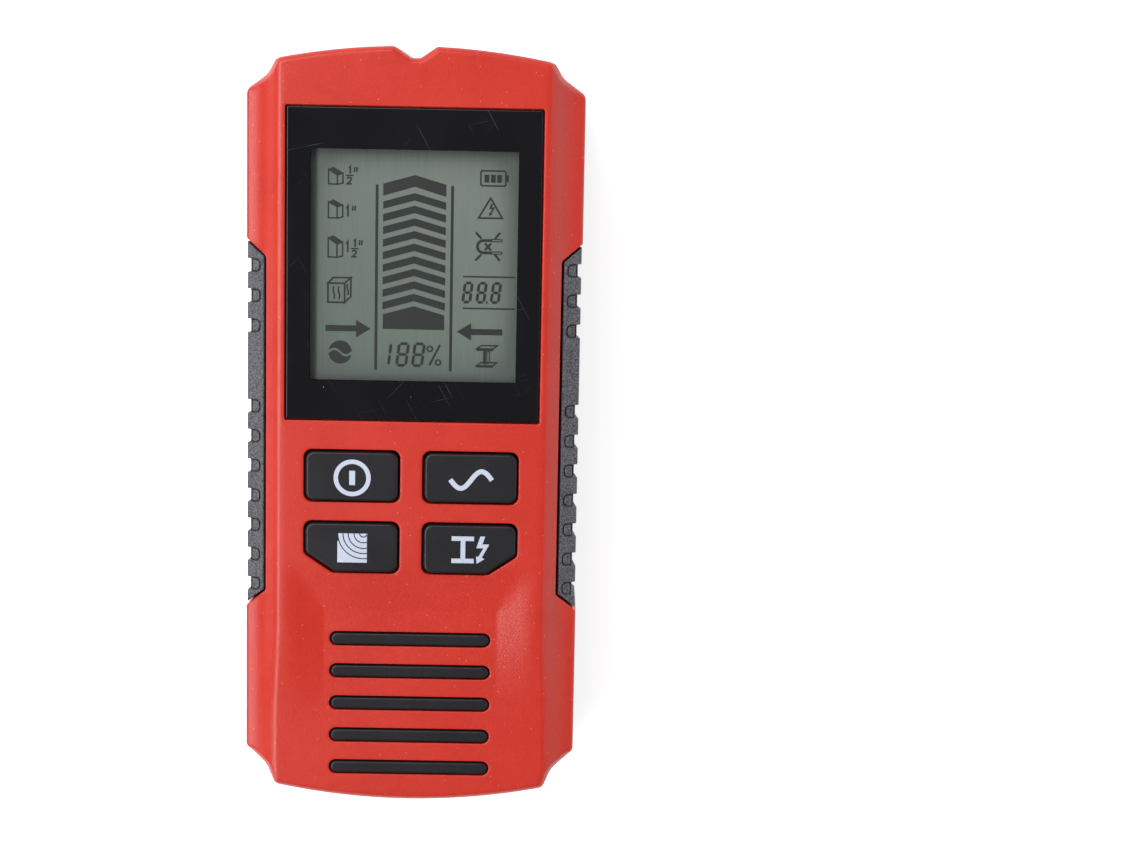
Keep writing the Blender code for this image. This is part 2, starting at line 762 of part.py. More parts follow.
def make_grips(rubber):
    """Two side grips with scalloped outer faces."""
    for side, name in ((-1, "left"), (1, "right")):
        plan = grip_plan(side, GAP, GRIP_OUTER_X)
        grip = prism(f"{name}_grip", [plan], GRIP_Z + GAP, PLATEAU_Z, rubber)
        reach = LENGTH / 2
        top = prism(f"{name}_grip_top", [cove_profile(side, GRIP_DROP)], -reach, reach, along="Y")
        cut(grip, top)
        centre_x = side * (GRIP_OUTER_X + SCALLOP_RADIUS - SCALLOP_DEPTH)
        rows = [UPPER_SCALLOP_Y - SCALLOP_PITCH * i for i in range(UPPER_SCALLOPS)]
        rows += [LOWER_SCALLOP_Y - SCALLOP_PITCH * i for i in range(LOWER_SCALLOPS)]
        z_range = (GRIP_Z - OVERSHOOT, PLATEAU_Z)
        for row, y in enumerate(rows):
            tag = f"{name}_scallop_{row}"
            at = (centre_x, y)
            cut(grip, cylinder(tag, SCALLOP_RADIUS, at, z_range, segments=SMALL_ROUND))


def make_rib_insert(rubber):
    """Five ribs on one backing plate that shows through the panel's slots."""
    low_y, high_y = RIB_BACK_Y
    low_z, high_z = RIB_BACK_Z
    insert = box(
        "rib_insert", (-RIB_BACK_HALF, low_y, low_z), (RIB_BACK_HALF, high_y, high_z), rubber,
    )
    for row, y in enumerate(rib_rows()):
        rib = prism(f"rib_{row}", [slot_plan(RIB_HALF, RIB_WIDTH, y)], high_z - GAP, RIB_TOP_Z)
        join(insert, rib)


# ---------------------------------------------------------------- display


def make_display(gloss, foam, glass, white, rubber):
    """Window, its gasket, the display glass, its frame and two rubber connectors."""
    at = (0.0, WINDOW_CENTRE_Y)
    shrink = 2 * WINDOW_CLEARANCE
    size = (WINDOW_SIZE[0] - shrink, WINDOW_SIZE[1] - shrink)
    prism("display_window", [rectangle(size, GAP)], *WINDOW_Z, gloss, at)
    prism("window_gasket", [rectangle(size, GAP), rectangle(GASKET_INNER)], *GASKET_Z, foam, at)
    prism("lcd_glass", [rectangle(LCD_SIZE)], *LCD_Z, glass, at)
    frame_loops = [rectangle(LCD_FRAME_SIZE), rectangle(LCD_FRAME_WINDOW)]
    frame = prism("lcd_frame", frame_loops, *LCD_FRAME_Z, white, at)
    reflector_size = [side + GAP for side in LCD_FRAME_WINDOW]
    reflector_top = (LCD_FRAME_Z[0] + LCD_FRAME_Z[1]) / 2
    join(frame, prism("reflector", [rectangle(reflector_size)], LCD_FRAME_Z[0], reflector_top, at=at))
    for side, name in ((1, "upper"), (-1, "lower")):
        middle = at[1] + side * CONNECTOR_OFFSET
        strip = [rectangle(CONNECTOR_SIZE)]
        prism(f"lcd_connector_{name}", strip, *LCD_FRAME_Z, rubber, (0.0, middle))


# ---------------------------------------------------------------- electronics


def hang_box(name, at, size, height, material):
    """A block hanging under the main board."""
    top = BOARD_Z[0] - GAP
    x, y = size[0] / 2, size[1] / 2
    return box(name, (at[0] - x, at[1] - y, top - height), (at[0] + x, at[1] + y, top), material)


def make_boards(board_green, dark, steel, white):
    """Main board with its parts, and the sensor board in the head."""
    low, high = BOARD_Z
    board = box(
        "main_board", (-BOARD_HALF, BOARD_Y[0], low), (BOARD_HALF, BOARD_Y[1], high), board_green,
    )
    hole_z = (low - OVERSHOOT, high + OVERSHOOT)
    for name, at in board_fixings():
        cut(board, cylinder(f"{name}_hole", BOARD_SCREW_BORE, at, hole_z, segments=SMALL_ROUND))
    hang_box("processor_chip", *PROCESSOR, dark)
    hang_box("amplifier_chip", *AMPLIFIER, dark)
    top = BOARD_Z[0] - GAP
    at, radius, height = BUZZER
    buzzer = cylinder("buzzer", radius, at, (top - height, top), dark)
    sound_z = (top - height - OVERSHOOT, top - height / 2)
    cut(buzzer, cylinder("buzzer_port", radius / 4, at, sound_z, segments=SMALL_ROUND))
    at, radius, height = CAPACITOR
    can = cylinder("smoothing_capacitor", radius, at, (top - height, top), steel)
    soften(can, GAP)
    box(
        "sensor_board", (-SENSOR_HALF, SENSOR_Y[0], SENSOR_Z[0]),
        (SENSOR_HALF, SENSOR_Y[1], SENSOR_Z[1]), board_green,
    )
    x, y, height = SOCKET_SIZE[0] / 2, SOCKET_SIZE[1] / 2, SOCKET_SIZE[2]
    low = SENSOR_Z[1] + GAP
    ribbon_x = RIBBON_WIDTH / 2
    box("sensor_socket", (-x, RIBBON_Y - y, low), (x, RIBBON_Y + y, low + height), white)
    hang_box("main_socket", (0.0, RIBBON_Y), SOCKET_SIZE[:2], height, white)
    low, high = low + height + GAP, top - height - GAP
    bow = []
    for step in range(RIBBON_STEPS + 1):
        share = step / RIBBON_STEPS
        sag = RIBBON_BOW * math.sin(math.pi * share)
        bow.append((RIBBON_Y + sag, low + (high - low) * share))
    band = [(y - RIBBON_THICKNESS / 2, z) for y, z in bow]
    band += [(y + RIBBON_THICKNESS / 2, z) for y, z in reversed(bow)]
    prism("sensor_ribbon", [band], -ribbon_x, ribbon_x, white, along="X")


def make_coil(white, copper, ferrite):
    """Spool, winding and core of the metal-sensing coil."""
    bore, hub, winding, rim = COIL_RADII
    low, high = COIL_Z
    spool = [
        (rim, high), (rim, high - COIL_FLANGE), (hub, high - COIL_FLANGE), (hub, low + COIL_FLANGE),
        (rim, low + COIL_FLANGE), (rim, low), (bore, low), (bore, high),
    ]
    turned("coil_bobbin", spool, COIL_CENTRE, white)
    inner, top, bottom = hub + GAP, high - COIL_FLANGE - GAP, low + COIL_FLANGE + GAP
    ring = [(winding, top), (winding, bottom), (inner, bottom), (inner, top)]
    turned("coil_winding", ring, COIL_CENTRE, copper)
    cylinder("coil_core", bore - GAP, COIL_CENTRE, COIL_Z, ferrite)


def make_battery(black, steel, red, foam):
    """Nine-volt battery, the foam above it, its snap connector and the two leads."""
    battery = box(
        "battery", (-BATTERY_HALF, BATTERY_BODY_Y[0], BATTERY_Z[0]),
        (BATTERY_HALF, BATTERY_BODY_Y[1], BATTERY_Z[1]), steel,
    )
    soften(battery, BATTERY_ROUND)
    middle = (BATTERY_Z[0] + BATTERY_Z[1]) / 2
    reach = (BATTERY_BODY_Y[1] - OVERSHOOT, TERMINAL_END_Y)
    for side, name, radius in zip((-1, 1), ("stud", "socket"), TERMINAL_RADII):
        at = (side * TERMINAL_X, middle)
        terminal = cylinder(f"terminal_{name}", radius, at, reach, segments=SMALL_ROUND, along="Y")
        join(battery, terminal)
    low_y, high_y = FOAM_Y
    box(
        "battery_foam", (-FOAM_HALF, low_y, FOAM_Z[0]), (FOAM_HALF, high_y, FOAM_Z[1]), foam,
    )
    snap = box(
        "battery_snap", (-SNAP_HALF, SNAP_Y[0], SNAP_Z[0]), (SNAP_HALF, SNAP_Y[1], SNAP_Z[1]), black,
    )
    soften(snap, 2 * GAP, segments=1)
    exit_y = SNAP_Y[1] + GAP
    for side, name, colour in ((-1, "red", red), (1, "black", black)):
        route = [
            (side * LEAD_X, exit_y, middle),
            (side * LEAD_X, exit_y + 0.0030, middle + 0.0001),
            (side * LEAD_X, exit_y + 0.0055, middle + 0.0018),
            (side * (LEAD_X - 0.0010), exit_y + 0.0068, middle + 0.0055),
            (side * (LEAD_X - 0.0012), exit_y + 0.0069, BOARD_Z[0] - GAP),
        ]
        tube(f"battery_lead_{name}", smooth_path(route, LEAD_SAMPLES), LEAD_RADIUS, colour)


# ---------------------------------------------------------------- fasteners


def screw(name, at, head, head_z, shank, top_z, steel):
    """A screw driven upwards from the back, with a cross recess in its head."""
    made = cylinder(name, head, at, head_z, steel, segments=16)
    join(made, cylinder(f"{name}_shank", shank, at, (head_z[1] - GAP, top_z), segments=SMALL_ROUND))
    deep = (head_z[0] + head_z[1]) / 2
    long, short = head * 0.6, head * 0.15
    for arm, size in enumerate(((long, short), (short, long))):
        cross = [rectangle((2 * size[0], 2 * size[1]))]
        cut(made, prism(f"{name}_recess_{arm}", cross, head_z[0] - OVERSHOOT, deep, at=at))


def make_screws(steel):
    """Four case screws and four board screws."""
    for row, (x, y) in zip(("upper", "lower"), CASE_SCREWS):
        for side, name in ((-1, "left"), (1, "right")):
            tag = f"case_screw_{row}_{name}"
            at = (side * x, y)
            screw(tag, at, SCREW_HEAD, SCREW_HEAD_Z, SCREW_SHANK, SCREW_TOP_Z, steel)
    *head_z, top_z = BOARD_SCREW_Z
    for name, at in board_fixings():
        screw(name, at, BOARD_SCREW_HEAD, head_z, BOARD_SCREW_SHANK, top_z, steel)


# ---------------------------------------------------------------- assembly


def main():
    """Build every piece of the scanner."""
    red = finish("red casing plastic", (0.66, 0.055, 0.038), 0.42)
    charcoal = finish("charcoal casing plastic", (0.035, 0.034, 0.037), 0.5)
    grey_rubber = finish("grey grip rubber", (0.11, 0.11, 0.12), 0.8)
    key_rubber = finish("key plastic", (0.032, 0.030, 0.035), 0.55)
    gloss = finish("window gloss", (0.012, 0.011, 0.013), 0.08)
    glass = finish("display glass", (0.16, 0.20, 0.17), 0.15)
    white = finish("white nylon", (0.75, 0.75, 0.72), 0.5)
    dark = finish("chip black", (0.02, 0.02, 0.02), 0.45)
    foam = finish("dark foam", (0.03, 0.03, 0.03), 0.95)
    steel = finish("plated steel", (0.55, 0.55, 0.56), 0.3, 1.0)
    copper = finish("enamelled copper", (0.60, 0.24, 0.10), 0.35, 1.0)
    ferrite = finish("ferrite", (0.05, 0.05, 0.055), 0.6)
    green = finish("board green", (0.015, 0.14, 0.05), 0.4)
    red_wire = finish("red sleeve", (0.6, 0.02, 0.02), 0.5)
    make_front_case(red)
    make_rear_case(charcoal)
    make_battery_door(charcoal)
    make_grips(grey_rubber)
    make_rib_insert(grey_rubber)
    make_display(gloss, foam, glass, white, grey_rubber)
    make_keys(key_rubber, dark, steel)
    make_boards(green, dark, steel, white)
    make_coil(white, copper, ferrite)
    make_battery(dark, steel, red_wire, foam)
    make_screws(steel)


clear_scene()
PIECES = new_collection("stud_finder")
TOOLS = new_collection("cutters")
main()
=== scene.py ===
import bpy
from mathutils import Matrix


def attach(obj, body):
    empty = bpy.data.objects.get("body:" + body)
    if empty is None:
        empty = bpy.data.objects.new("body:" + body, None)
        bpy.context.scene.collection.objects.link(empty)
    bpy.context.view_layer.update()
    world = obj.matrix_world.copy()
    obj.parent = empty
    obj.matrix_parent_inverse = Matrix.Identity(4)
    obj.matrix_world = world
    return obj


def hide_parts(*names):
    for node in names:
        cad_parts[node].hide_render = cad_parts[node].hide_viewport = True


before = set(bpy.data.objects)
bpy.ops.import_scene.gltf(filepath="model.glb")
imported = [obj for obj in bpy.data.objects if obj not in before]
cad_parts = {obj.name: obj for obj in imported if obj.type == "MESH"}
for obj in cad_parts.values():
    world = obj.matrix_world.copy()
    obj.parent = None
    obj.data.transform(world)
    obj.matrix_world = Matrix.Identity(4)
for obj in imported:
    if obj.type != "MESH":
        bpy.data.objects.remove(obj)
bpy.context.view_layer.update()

# Handheld stud finder: red case, black window over a grey-green display, four dark keys,
# five ribs and scalloped side grips. Outlines are worked out in millimetres and stored in
# metres. The scanner lies on its back: +Z out of the screen, +Y towards the notch.

import math

import bmesh
import bpy
import numpy as np
from mathutils import Matrix, Vector
from mathutils.geometry import delaunay_2d_cdt

MM = 0.001
WELD = 1e-6

# Case, seen from above
HALF_WIDTH = 33.0
HALF_LENGTH = 75.0
END_RADIUS = 133.0
NOTCH = (0.9, 4.15, 2.25)
NOTCH_ROUNDS = (1.4, 1.25)
SHOULDER_X = 27.0
WAIST = (28.6, 69.4)
SIDE_CORNER_Y = 66.3
REAR_WAIST = (28.6, 68.6)
REAR_SIDE_CORNER_Y = 64.7
CORNER_ROUNDS = (1.6, 5.0, 1.8)
END_STEPS = 24
POCKET_X = 28.9
POCKET_Y = (-32.3, 34.1)
POCKET_SLANT = 0.83
POCKET_ROUNDS = (0.5, 1.1)
UNDER_GRIP_X = 31.9
HOLLOW_X = (25.2, 26.9, 31.0)
HOLLOW_Y = (-72.7, 70.7)
HOLLOW_SIDE_Y = 64.6
HOLLOW_GRIP_Y = (-34.6, 36.3)
HOLLOW_SLANT = 3.4

# Heights of the case
REAR_Z = (0.0, 13.0)
REAR_EDGES = (0.42, 0.3)
DOOR_EDGE = 0.12
SKIN = 0.0005
FRONT_Z = 13.3
GRIP_LEDGE_Z = 16.0
HOLLOW_STEP_Z = 22.5
CEILING_Z = 27.2
PLATEAU_Z = 30.0
LIP_Z = 26.2
CREST_X = 26.9
CREST_BLEND = 1.9
FLANK_LEAN = 1.5
DRAFT = (0.5, -62.0, 8.0, 0.003)
PANEL_SINK = 1.1
PANEL_SIDES = (23.7, 6.5)
PANEL_HEAD = (-26.8, 9.0)
PANEL_CREASES = (0.03, 0.05)
RIM_FADE = (-37.0, 24.0)
FOOT_EDGE = 0.3
EDGE_SIZE = 0.55
EDGE_AT_ENDS = 0.42
EDGE_AT_POCKETS = -0.3

# Openings and what fills them
OPENING_ROUND = 0.22
RIB_OPENING_ROUND = 0.2
WINDOW = (0.0, 32.85, 50.0, 61.2)
WINDOW_PLAY = 0.5
WINDOW_EDGE = 0.28
WINDOW_LEDGE = 2.4
WINDOW_LEDGE_Z = 28.3
WINDOW_Z = (28.85, 29.85)
DISPLAY = (0.0, 32.72, 40.3, 44.95)
KEY_X = 11.65
KEY_ROWS = (-8.65, -22.85)
KEY_OPENING = (18.9, 10.45)
KEY_CAP = (18.1, 9.65)
KEY_FLANGE = (19.9, 11.45)
KEY_FLANGE_Z = (25.9, 26.8)
KEY_TOP_Z = 30.7
KEY_ROUND = 1.6
KEY_SLANT = (5.7, 3.8)
KEY_RIM = 0.5
RIB_ROWS = -41.55 - 6.56 * np.arange(5)
RIB_HALF = 15.7
RIB_WIDTH = 2.3
RIB_GAP = 0.3
RIB_Z = (25.9, 26.9, 29.1)
RIB_EDGE = 0.42
RIB_PLATE = (0.0, -54.6, 35.2, 32.0)

# Grips
GRIP_X = (29.2, 32.7)
GRIP_Z = 16.3
GRIP_DROP = 0.25
GRIP_ENDS = (-32.12, 33.92)
GRIP_EDGE = 0.35
GRIP_INNER_EDGE = 0.7
GRIP_TAPER = 0.086
SCALLOP_ROWS = np.concatenate([32.2 - 5.93 * np.arange(3), 4.4 - 5.93 * np.arange(7)])
SCALLOP_HALF = 1.33
SCALLOP_DEPTH = 0.7
PAD_X = 30.95
PAD_HALF = (0.85, 1.2)
PAD_CORNERS = (0.85, 0.15)
PAD_CORNER_X = 31.0
PAD_DROP = 0.12
GROOVE_DEPTH = 0.6
GROOVE_HALF = 0.12

# Printed marks
MARK_HEIGHT = 0.02
MARK_STEP = 0.0015
DISPLAY_INK_Z = 28.02

# View and lamps, in metres and watts; the camera's tilt, roll, yaw and swing are in degrees
CAMERA_ANGLES = (7.7, 0.6, 4.02, 3.3)
CAMERA_AIM = (0.0, 0.0012, 0.030)
CAMERA_DISTANCE = 0.4425
CAMERA_LENS = 71.1
LIT_POINT = (0.0, 0.0, 0.02)
LAMPS = (
    ("key_light", (-0.3, 0.66, 0.62), (0.7, 0.4), 4.5),
    ("fill_light", (0.85, 0.1, 0.4), (1.5, 0.9), 4.0),
    ("left_strip", (-0.5, 0.0, 0.74), (1.2, 0.25), 9.6),
)
WORLD_STRENGTH = 0.32
FLOOR_REACH = 3.0
FLOOR_Z = -0.0001

# -------- outlines


def unit(vectors):
    """Each vector divided by its own length."""
    return vectors / np.linalg.norm(vectors, axis=-1, keepdims=True)


def rounded(corners, radii, arc=8):
    """A closed polygon with round corners.

    The circle that touches both sides of a corner has its centre on the
    bisector, at radius / sin(half the corner's angle); the arc between the two
    touching points is cut at even angles. A straight corner stays one point.
    """
    p = np.asarray(corners, float)
    radius = np.broadcast_to(np.asarray(radii, float), len(p))
    back = unit(np.roll(p, 1, 0) - p)
    ahead = unit(np.roll(p, -1, 0) - p)
    half = np.arccos(np.clip((back * ahead).sum(1), -1, 1)) / 2
    sweep = np.pi - 2 * half
    plain = (sweep < 0.01) | (radius == 0)
    safe = np.where(plain, 1.0, half)
    middle = back + ahead
    middle = middle / np.maximum(np.linalg.norm(middle, axis=1, keepdims=True), 1e-9)
    centre = p + middle * (radius / np.sin(safe))[:, None]
    reach = (radius / np.tan(safe))[:, None]
    start = p + back * reach - centre
    end = p + ahead * reach - centre
    t = np.linspace(0, 1, arc)[None, :, None]
    angle = np.where(plain, 1.0, sweep)[:, None, None]
    arcs = (np.sin((1 - t) * angle) * start[:, None] + np.sin(t * angle) * end[:, None])
    arcs = arcs / np.sin(angle) + centre[:, None]
    points = np.where(plain[:, None, None], p[:, None], arcs).reshape(-1, 2)
    gap = np.linalg.norm(points - np.roll(points, 1, 0), axis=1)
    return points[gap > 1e-4]


def spaced(path, step):
    """The closed path with its long sides cut into equal lengths of at most step."""
    after = np.roll(path, -1, 0)
    counts = np.maximum(1, np.ceil(np.linalg.norm(after - path, axis=1) / step).astype(int))
    index = np.repeat(np.arange(len(path)), counts)
    place = np.arange(counts.sum()) - np.repeat(np.cumsum(counts) - counts, counts)
    share = (place / counts[index])[:, None]
    return path[index] * (1 - share) + after[index] * share


def mitre(before, after):
    """How each corner's point moves when both sides move one unit to the left."""
    turn = before + after
    return np.stack([-turn[:, 1], turn[:, 0]], 1) / (1 + (before * after).sum(1))[:, None]


def inset(path, distance):
    """The closed path moved inwards, each point along its corner's bisector."""
    before = unit(path - np.roll(path, 1, 0))
    after = unit(np.roll(path, -1, 0) - path)
    return path + mitre(before, after) * np.broadcast_to(distance, len(path))[:, None]


def rectangle(x, y, width, height, radius=0.0, step=1.0):
    """A rectangle round (x, y), anticlockwise."""
    a, b = width / 2, height / 2
    corners = np.array([(-a, -b), (a, -b), (a, b), (-a, b)]) + (x, y)
    return spaced(rounded(corners, radius) if radius else corners, step)


def circle(x, y, radius, count=48):
    """A circle round (x, y), anticlockwise."""
    angle = np.linspace(0, 2 * np.pi, count, endpoint=False)
    return np.stack([x + radius * np.cos(angle), y + radius * np.sin(angle)], 1)


def arc(x, y, radius, start, end, count=16):
    """Points along an arc, in degrees."""
    angle = np.radians(np.linspace(start, end, count))
    return np.stack([x + radius * np.cos(angle), y + radius * np.sin(angle)], 1)


def quarter_turn(steps):
    """Sine and cosine at even angles from 0 to 90 degrees."""
    angle = np.linspace(0, np.pi / 2, steps)
    return zip(np.sin(angle), np.cos(angle))


def end_drop(x):
    """How far the bowed end falls back at x from its middle."""
    return END_RADIUS - np.sqrt(END_RADIUS**2 - np.asarray(x, float) ** 2)


def case_path():
    """The case from above, with its notch and with the pockets for the grips."""
    flat, shoulder, depth = NOTCH
    x = SHOULDER_X * np.arange(1, END_STEPS) / END_STEPS
    low = np.stack([x, end_drop(x) - HALF_LENGTH], 1)
    x = x[x > shoulder + 2.5][::-1]
    high = np.stack([x, HALF_LENGTH + end_drop(shoulder) - end_drop(x)], 1)
    corner_y = HALF_LENGTH - float(end_drop(SHOULDER_X))
    out = HALF_WIDTH - POCKET_X
    low_corner = [
        (SHOULDER_X, -corner_y), (REAR_WAIST[0], -REAR_WAIST[1]), (HALF_WIDTH, -REAR_SIDE_CORNER_Y),
    ]
    pocket = [
        (HALF_WIDTH, POCKET_Y[0] - POCKET_SLANT * out), (POCKET_X, POCKET_Y[0]),
        (POCKET_X, POCKET_Y[1]), (HALF_WIDTH, POCKET_Y[1] + POCKET_SLANT * out),
    ]
    high_corner = [(HALF_WIDTH, SIDE_CORNER_Y), WAIST, (SHOULDER_X, corner_y)]
    notch = [(shoulder, HALF_LENGTH), (flat, HALF_LENGTH - depth)]
    half = np.array([*low, *low_corner, *pocket, *high_corner, *high, *notch])
    radii = [
        *[0] * len(low), *CORNER_ROUNDS, *POCKET_ROUNDS, *POCKET_ROUNDS[::-1],
        *CORNER_ROUNDS[::-1], *[0] * len(high), *NOTCH_ROUNDS[::-1],
    ]
    points = np.vstack([[(0.0, -HALF_LENGTH)], half, half[::-1] * (-1, 1)])
    return spaced(rounded(points, [0, *radii, *radii[::-1]], 10), 0.9)


def drafted(path):
    """The outline at the top of the walls, which lean in a little, most at the rear end."""
    reach, start, length, side = DRAFT
    share = smooth((start - path[:, 1]) / length)
    return np.stack([path[:, 0] * (1 - side), path[:, 1] + reach * share], 1)


def beyond_pocket(path):
    """Which points lie on a pocket's outline."""
    low, high = POCKET_Y
    reach = POCKET_SLANT * (HALF_WIDTH - POCKET_X) + 0.6
    return (np.abs(path[:, 0]) > 28) & (path[:, 1] > low - reach) & (path[:, 1] < high + reach)


def under_grips(path):
    """The same points with the pockets pushed out to where the case runs below the grips."""
    wide = path.copy()
    out = beyond_pocket(path)
    wide[out, 0] = np.sign(path[out, 0]) * np.maximum(np.abs(path[out, 0]), UNDER_GRIP_X)
    return wide


def key_path(size, side, slanted):
    """A key from above; a slanted one lacks its outer lower corner."""
    a, b = size[0] / 2, size[1] / 2
    if not slanted:
        return rectangle(0, 0, *size, KEY_ROUND, 0.7)
    across, up = KEY_SLANT
    corners = [(-a, -b), (a - across, -b), (a, -b + up), (a, b), (-a, b)]
    path = rounded(corners, [KEY_ROUND, 1.3, 1.3, KEY_ROUND, KEY_ROUND])
    return spaced(path if side > 0 else path[::-1] * (-1, 1), 0.7)


def key_list():
    """Name, place, side and whether the outer lower corner is slanted."""
    return [
        ("power", (-KEY_X, KEY_ROWS[0]), -1, False),
        ("ac", (KEY_X, KEY_ROWS[0]), 1, False),
        ("wood", (-KEY_X, KEY_ROWS[1]), -1, True),
        ("metal", (KEY_X, KEY_ROWS[1]), 1, True),
    ]


def rib_path(y, grow=0.0):
    """One rib from above: a bar with round ends."""
    width = RIB_WIDTH + 2 * grow
    return rectangle(0, y, 2 * (RIB_HALF + grow), width, width / 2, 0.8)


# -------- heights


def smooth(share):
    """0 to 1 with level ends."""
    share = np.clip(share, 0, 1)
    return share * share * (3 - 2 * share)


def lower_of(a, b, width):
    """The lower of two values, rounded where they meet over this width."""
    near = np.maximum(width - np.abs(a - b), 0)
    return np.minimum(a, b) - near**2 / (4 * width)


def flank_height(x):
    """The hollowed flank: a cubic from the crest down to the lip, where it still leans out."""
    rest = 1 - np.minimum((np.abs(x) - CREST_X) / (HALF_WIDTH - CREST_X), 1)
    return LIP_Z + (PLATEAU_Z - LIP_Z - FLANK_LEAN) * rest**3 + FLANK_LEAN * rest


def case_height(path):
    """Height of the front of the case.

    The plateau slopes evenly down into the panel, with a fine round crease
    above and below, and the panel's rims sink to its level towards the rear;
    the flank takes over where it is lower.
    """
    x, y = np.abs(path[..., 0]), path[..., 1]
    side = (PANEL_SIDES[0] - x) / PANEL_SIDES[1]
    head = (PANEL_HEAD[0] - y) / PANEL_HEAD[1]
    between, beside = PANEL_CREASES
    into = lower_of(lower_of(side, head, between), 1.0, beside)
    into = -lower_of(-into, 0.0, beside)
    fade = smooth((RIM_FADE[0] - y) / RIM_FADE[1])
    plateau = PLATEAU_Z - PANEL_SINK * (1 - (1 - into) * (1 - fade))
    return lower_of(plateau, flank_height(x), CREST_BLEND)


# -------- meshes


def batches(points, most=1500):
    """The points' numbers in batches that keep the arrays small."""
    return np.array_split(np.arange(len(points)), len(points) // most + 1)


def inside(points, loops):
    """Which points lie inside an odd number of loops, by crossings of a ray along +X."""
    a = np.vstack(loops)
    b = np.vstack([np.roll(loop, -1, 0) for loop in loops])
    rise = np.where(b[:, 1] == a[:, 1], 1.0, b[:, 1] - a[:, 1])
    slope = (b[:, 0] - a[:, 0]) / rise
    found = np.zeros(len(points), bool)
    for part in batches(points):
        x, y = points[part, :1], points[part, 1:2]
        crossed = (a[:, 1] > y) != (b[:, 1] > y)
        found[part] = (crossed & (x < a[:, 0] + (y - a[:, 1]) * slope)).sum(1) % 2 == 1
    return found


def clear_of(points, loops, distance):
    """The points that keep this distance from every loop's points."""
    marks = np.vstack(loops)
    keep = np.ones(len(points), bool)
    for part in batches(points):
        away = points[part, None] - marks[None]
        keep[part] = (away**2).sum(2).min(1) > distance**2
    return points[keep]


class Shell:
    """Points and faces of one piece, gathered before they are welded."""

    def __init__(self):
        self.points, self.faces, self.count = [], [], 0

    def add(self, points, faces):
        """More points, with faces that count from the first of them."""
        self.points.append(points)
        self.faces += (np.asarray(faces) + self.count).tolist()
        self.count += len(points)

    def skin(self, rings):
        """Four-sided faces between each closed ring of points and the next."""
        rings = np.asarray(rings)
        rows, columns = rings.shape[:2]
        here = np.arange(rows * columns).reshape(rows, columns)
        beside = np.roll(here, -1, 1)
        quads = np.stack([here[:-1], beside[:-1], beside[1:], here[1:]], -1)
        self.add(rings.reshape(-1, 3), quads.reshape(-1, 4))

    def wall(self, path, low, high):
        """An upright wall on a closed path."""
        self.skin([at_height(path, low), at_height(path, high)])

    def sheet(self, loops, height, within=()):
        """Triangles inside an odd number of loops, at a height or on a height function.

        Slivers with no width, where points lie in a row, are left out.
        """
        ends = np.cumsum([0] + [len(loop) for loop in loops])
        edges = np.vstack([
            np.stack([np.arange(a, b), np.roll(np.arange(a, b), -1)], 1)
            for a, b in zip(ends[:-1], ends[1:])
        ])
        flat = np.vstack([*loops, *within])
        points, _, faces, *_ = delaunay_2d_cdt(
            [Vector(p) for p in flat.tolist()], edges.tolist(), [], 0, 1e-6,
        )
        flat, faces = np.array(points), np.array(faces)
        a, b, c = flat[faces].transpose(1, 0, 2)
        area = np.abs((b - a)[:, 0] * (c - a)[:, 1] - (b - a)[:, 1] * (c - a)[:, 0])
        longest = np.linalg.norm([b - a, c - b, a - c], axis=-1).max(0)
        faces = faces[inside(flat[faces].mean(1), loops) & (area > 3e-5 * longest)]
        level = height(flat) if callable(height) else np.full(len(flat), float(height))
        self.add(np.column_stack([flat, level]), faces)

    def mesh(self, name):
        """The welded mesh in metres, its faces turned outwards."""
        mesh = bpy.data.meshes.new(name)
        mesh.from_pydata((np.vstack(self.points) * MM).tolist(), [], self.faces)
        work = bmesh.new()
        work.from_mesh(mesh)
        bmesh.ops.remove_doubles(work, verts=work.verts, dist=WELD)
        loose = [v for v in work.verts if not v.link_faces]
        bmesh.ops.delete(work, geom=loose, context="VERTS")
        bmesh.ops.recalc_face_normals(work, faces=work.faces)
        work.to_mesh(mesh)
        work.free()
        return mesh

    def piece(self, name, finish, body, replaces=(), crease=38):
        """The finished piece on its body."""
        return fitted(self.mesh(name), name, finish, body, replaces, crease)


def added(name, data):
    """A new object with this data, in the scene."""
    thing = bpy.data.objects.new(name, data)
    bpy.context.scene.collection.objects.link(thing)
    return thing


def fitted(mesh, name, finish, body, replaces, crease):
    """The object for a finished mesh, with its material, body, slot and CAD nodes."""
    mesh.materials.clear()
    mesh.materials.append(finish)
    mesh.shade_smooth()
    mesh.set_sharp_from_angle(angle=math.radians(crease))
    thing = added(name, mesh)
    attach(thing, body)
    if replaces:
        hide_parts(*replaces)
    return thing


def at_height(path, z):
    """The flat path lifted to one height or to a height for each point."""
    return np.column_stack([path, np.broadcast_to(z, len(path))])


def pillow(shell, path, low, high, edge, steps=5):
    """Upright sides on a path, then a quarter-round edge and a flat top."""
    rings = [at_height(path, low)]
    for sine, cosine in quarter_turn(steps):
        rings.append(at_height(inset(path, edge * (1 - cosine)), high - edge * (1 - sine)))
    shell.skin(rings)
    shell.sheet([inset(path, edge)], high, [inset(path, edge + 0.08)])


# -------- case


def opening(shell, path, edge, floor):
    """The wall of one opening under a quarter-round rim; gives the rim's outer loop."""
    rings = []
    for sine, cosine in quarter_turn(5):
        loop = inset(path, -edge * (1 - sine))
        rings.append(at_height(loop, case_height(loop) - edge * (1 - cosine)))
    rings.append(at_height(path, floor))
    shell.skin(rings)
    return inset(path, -edge)


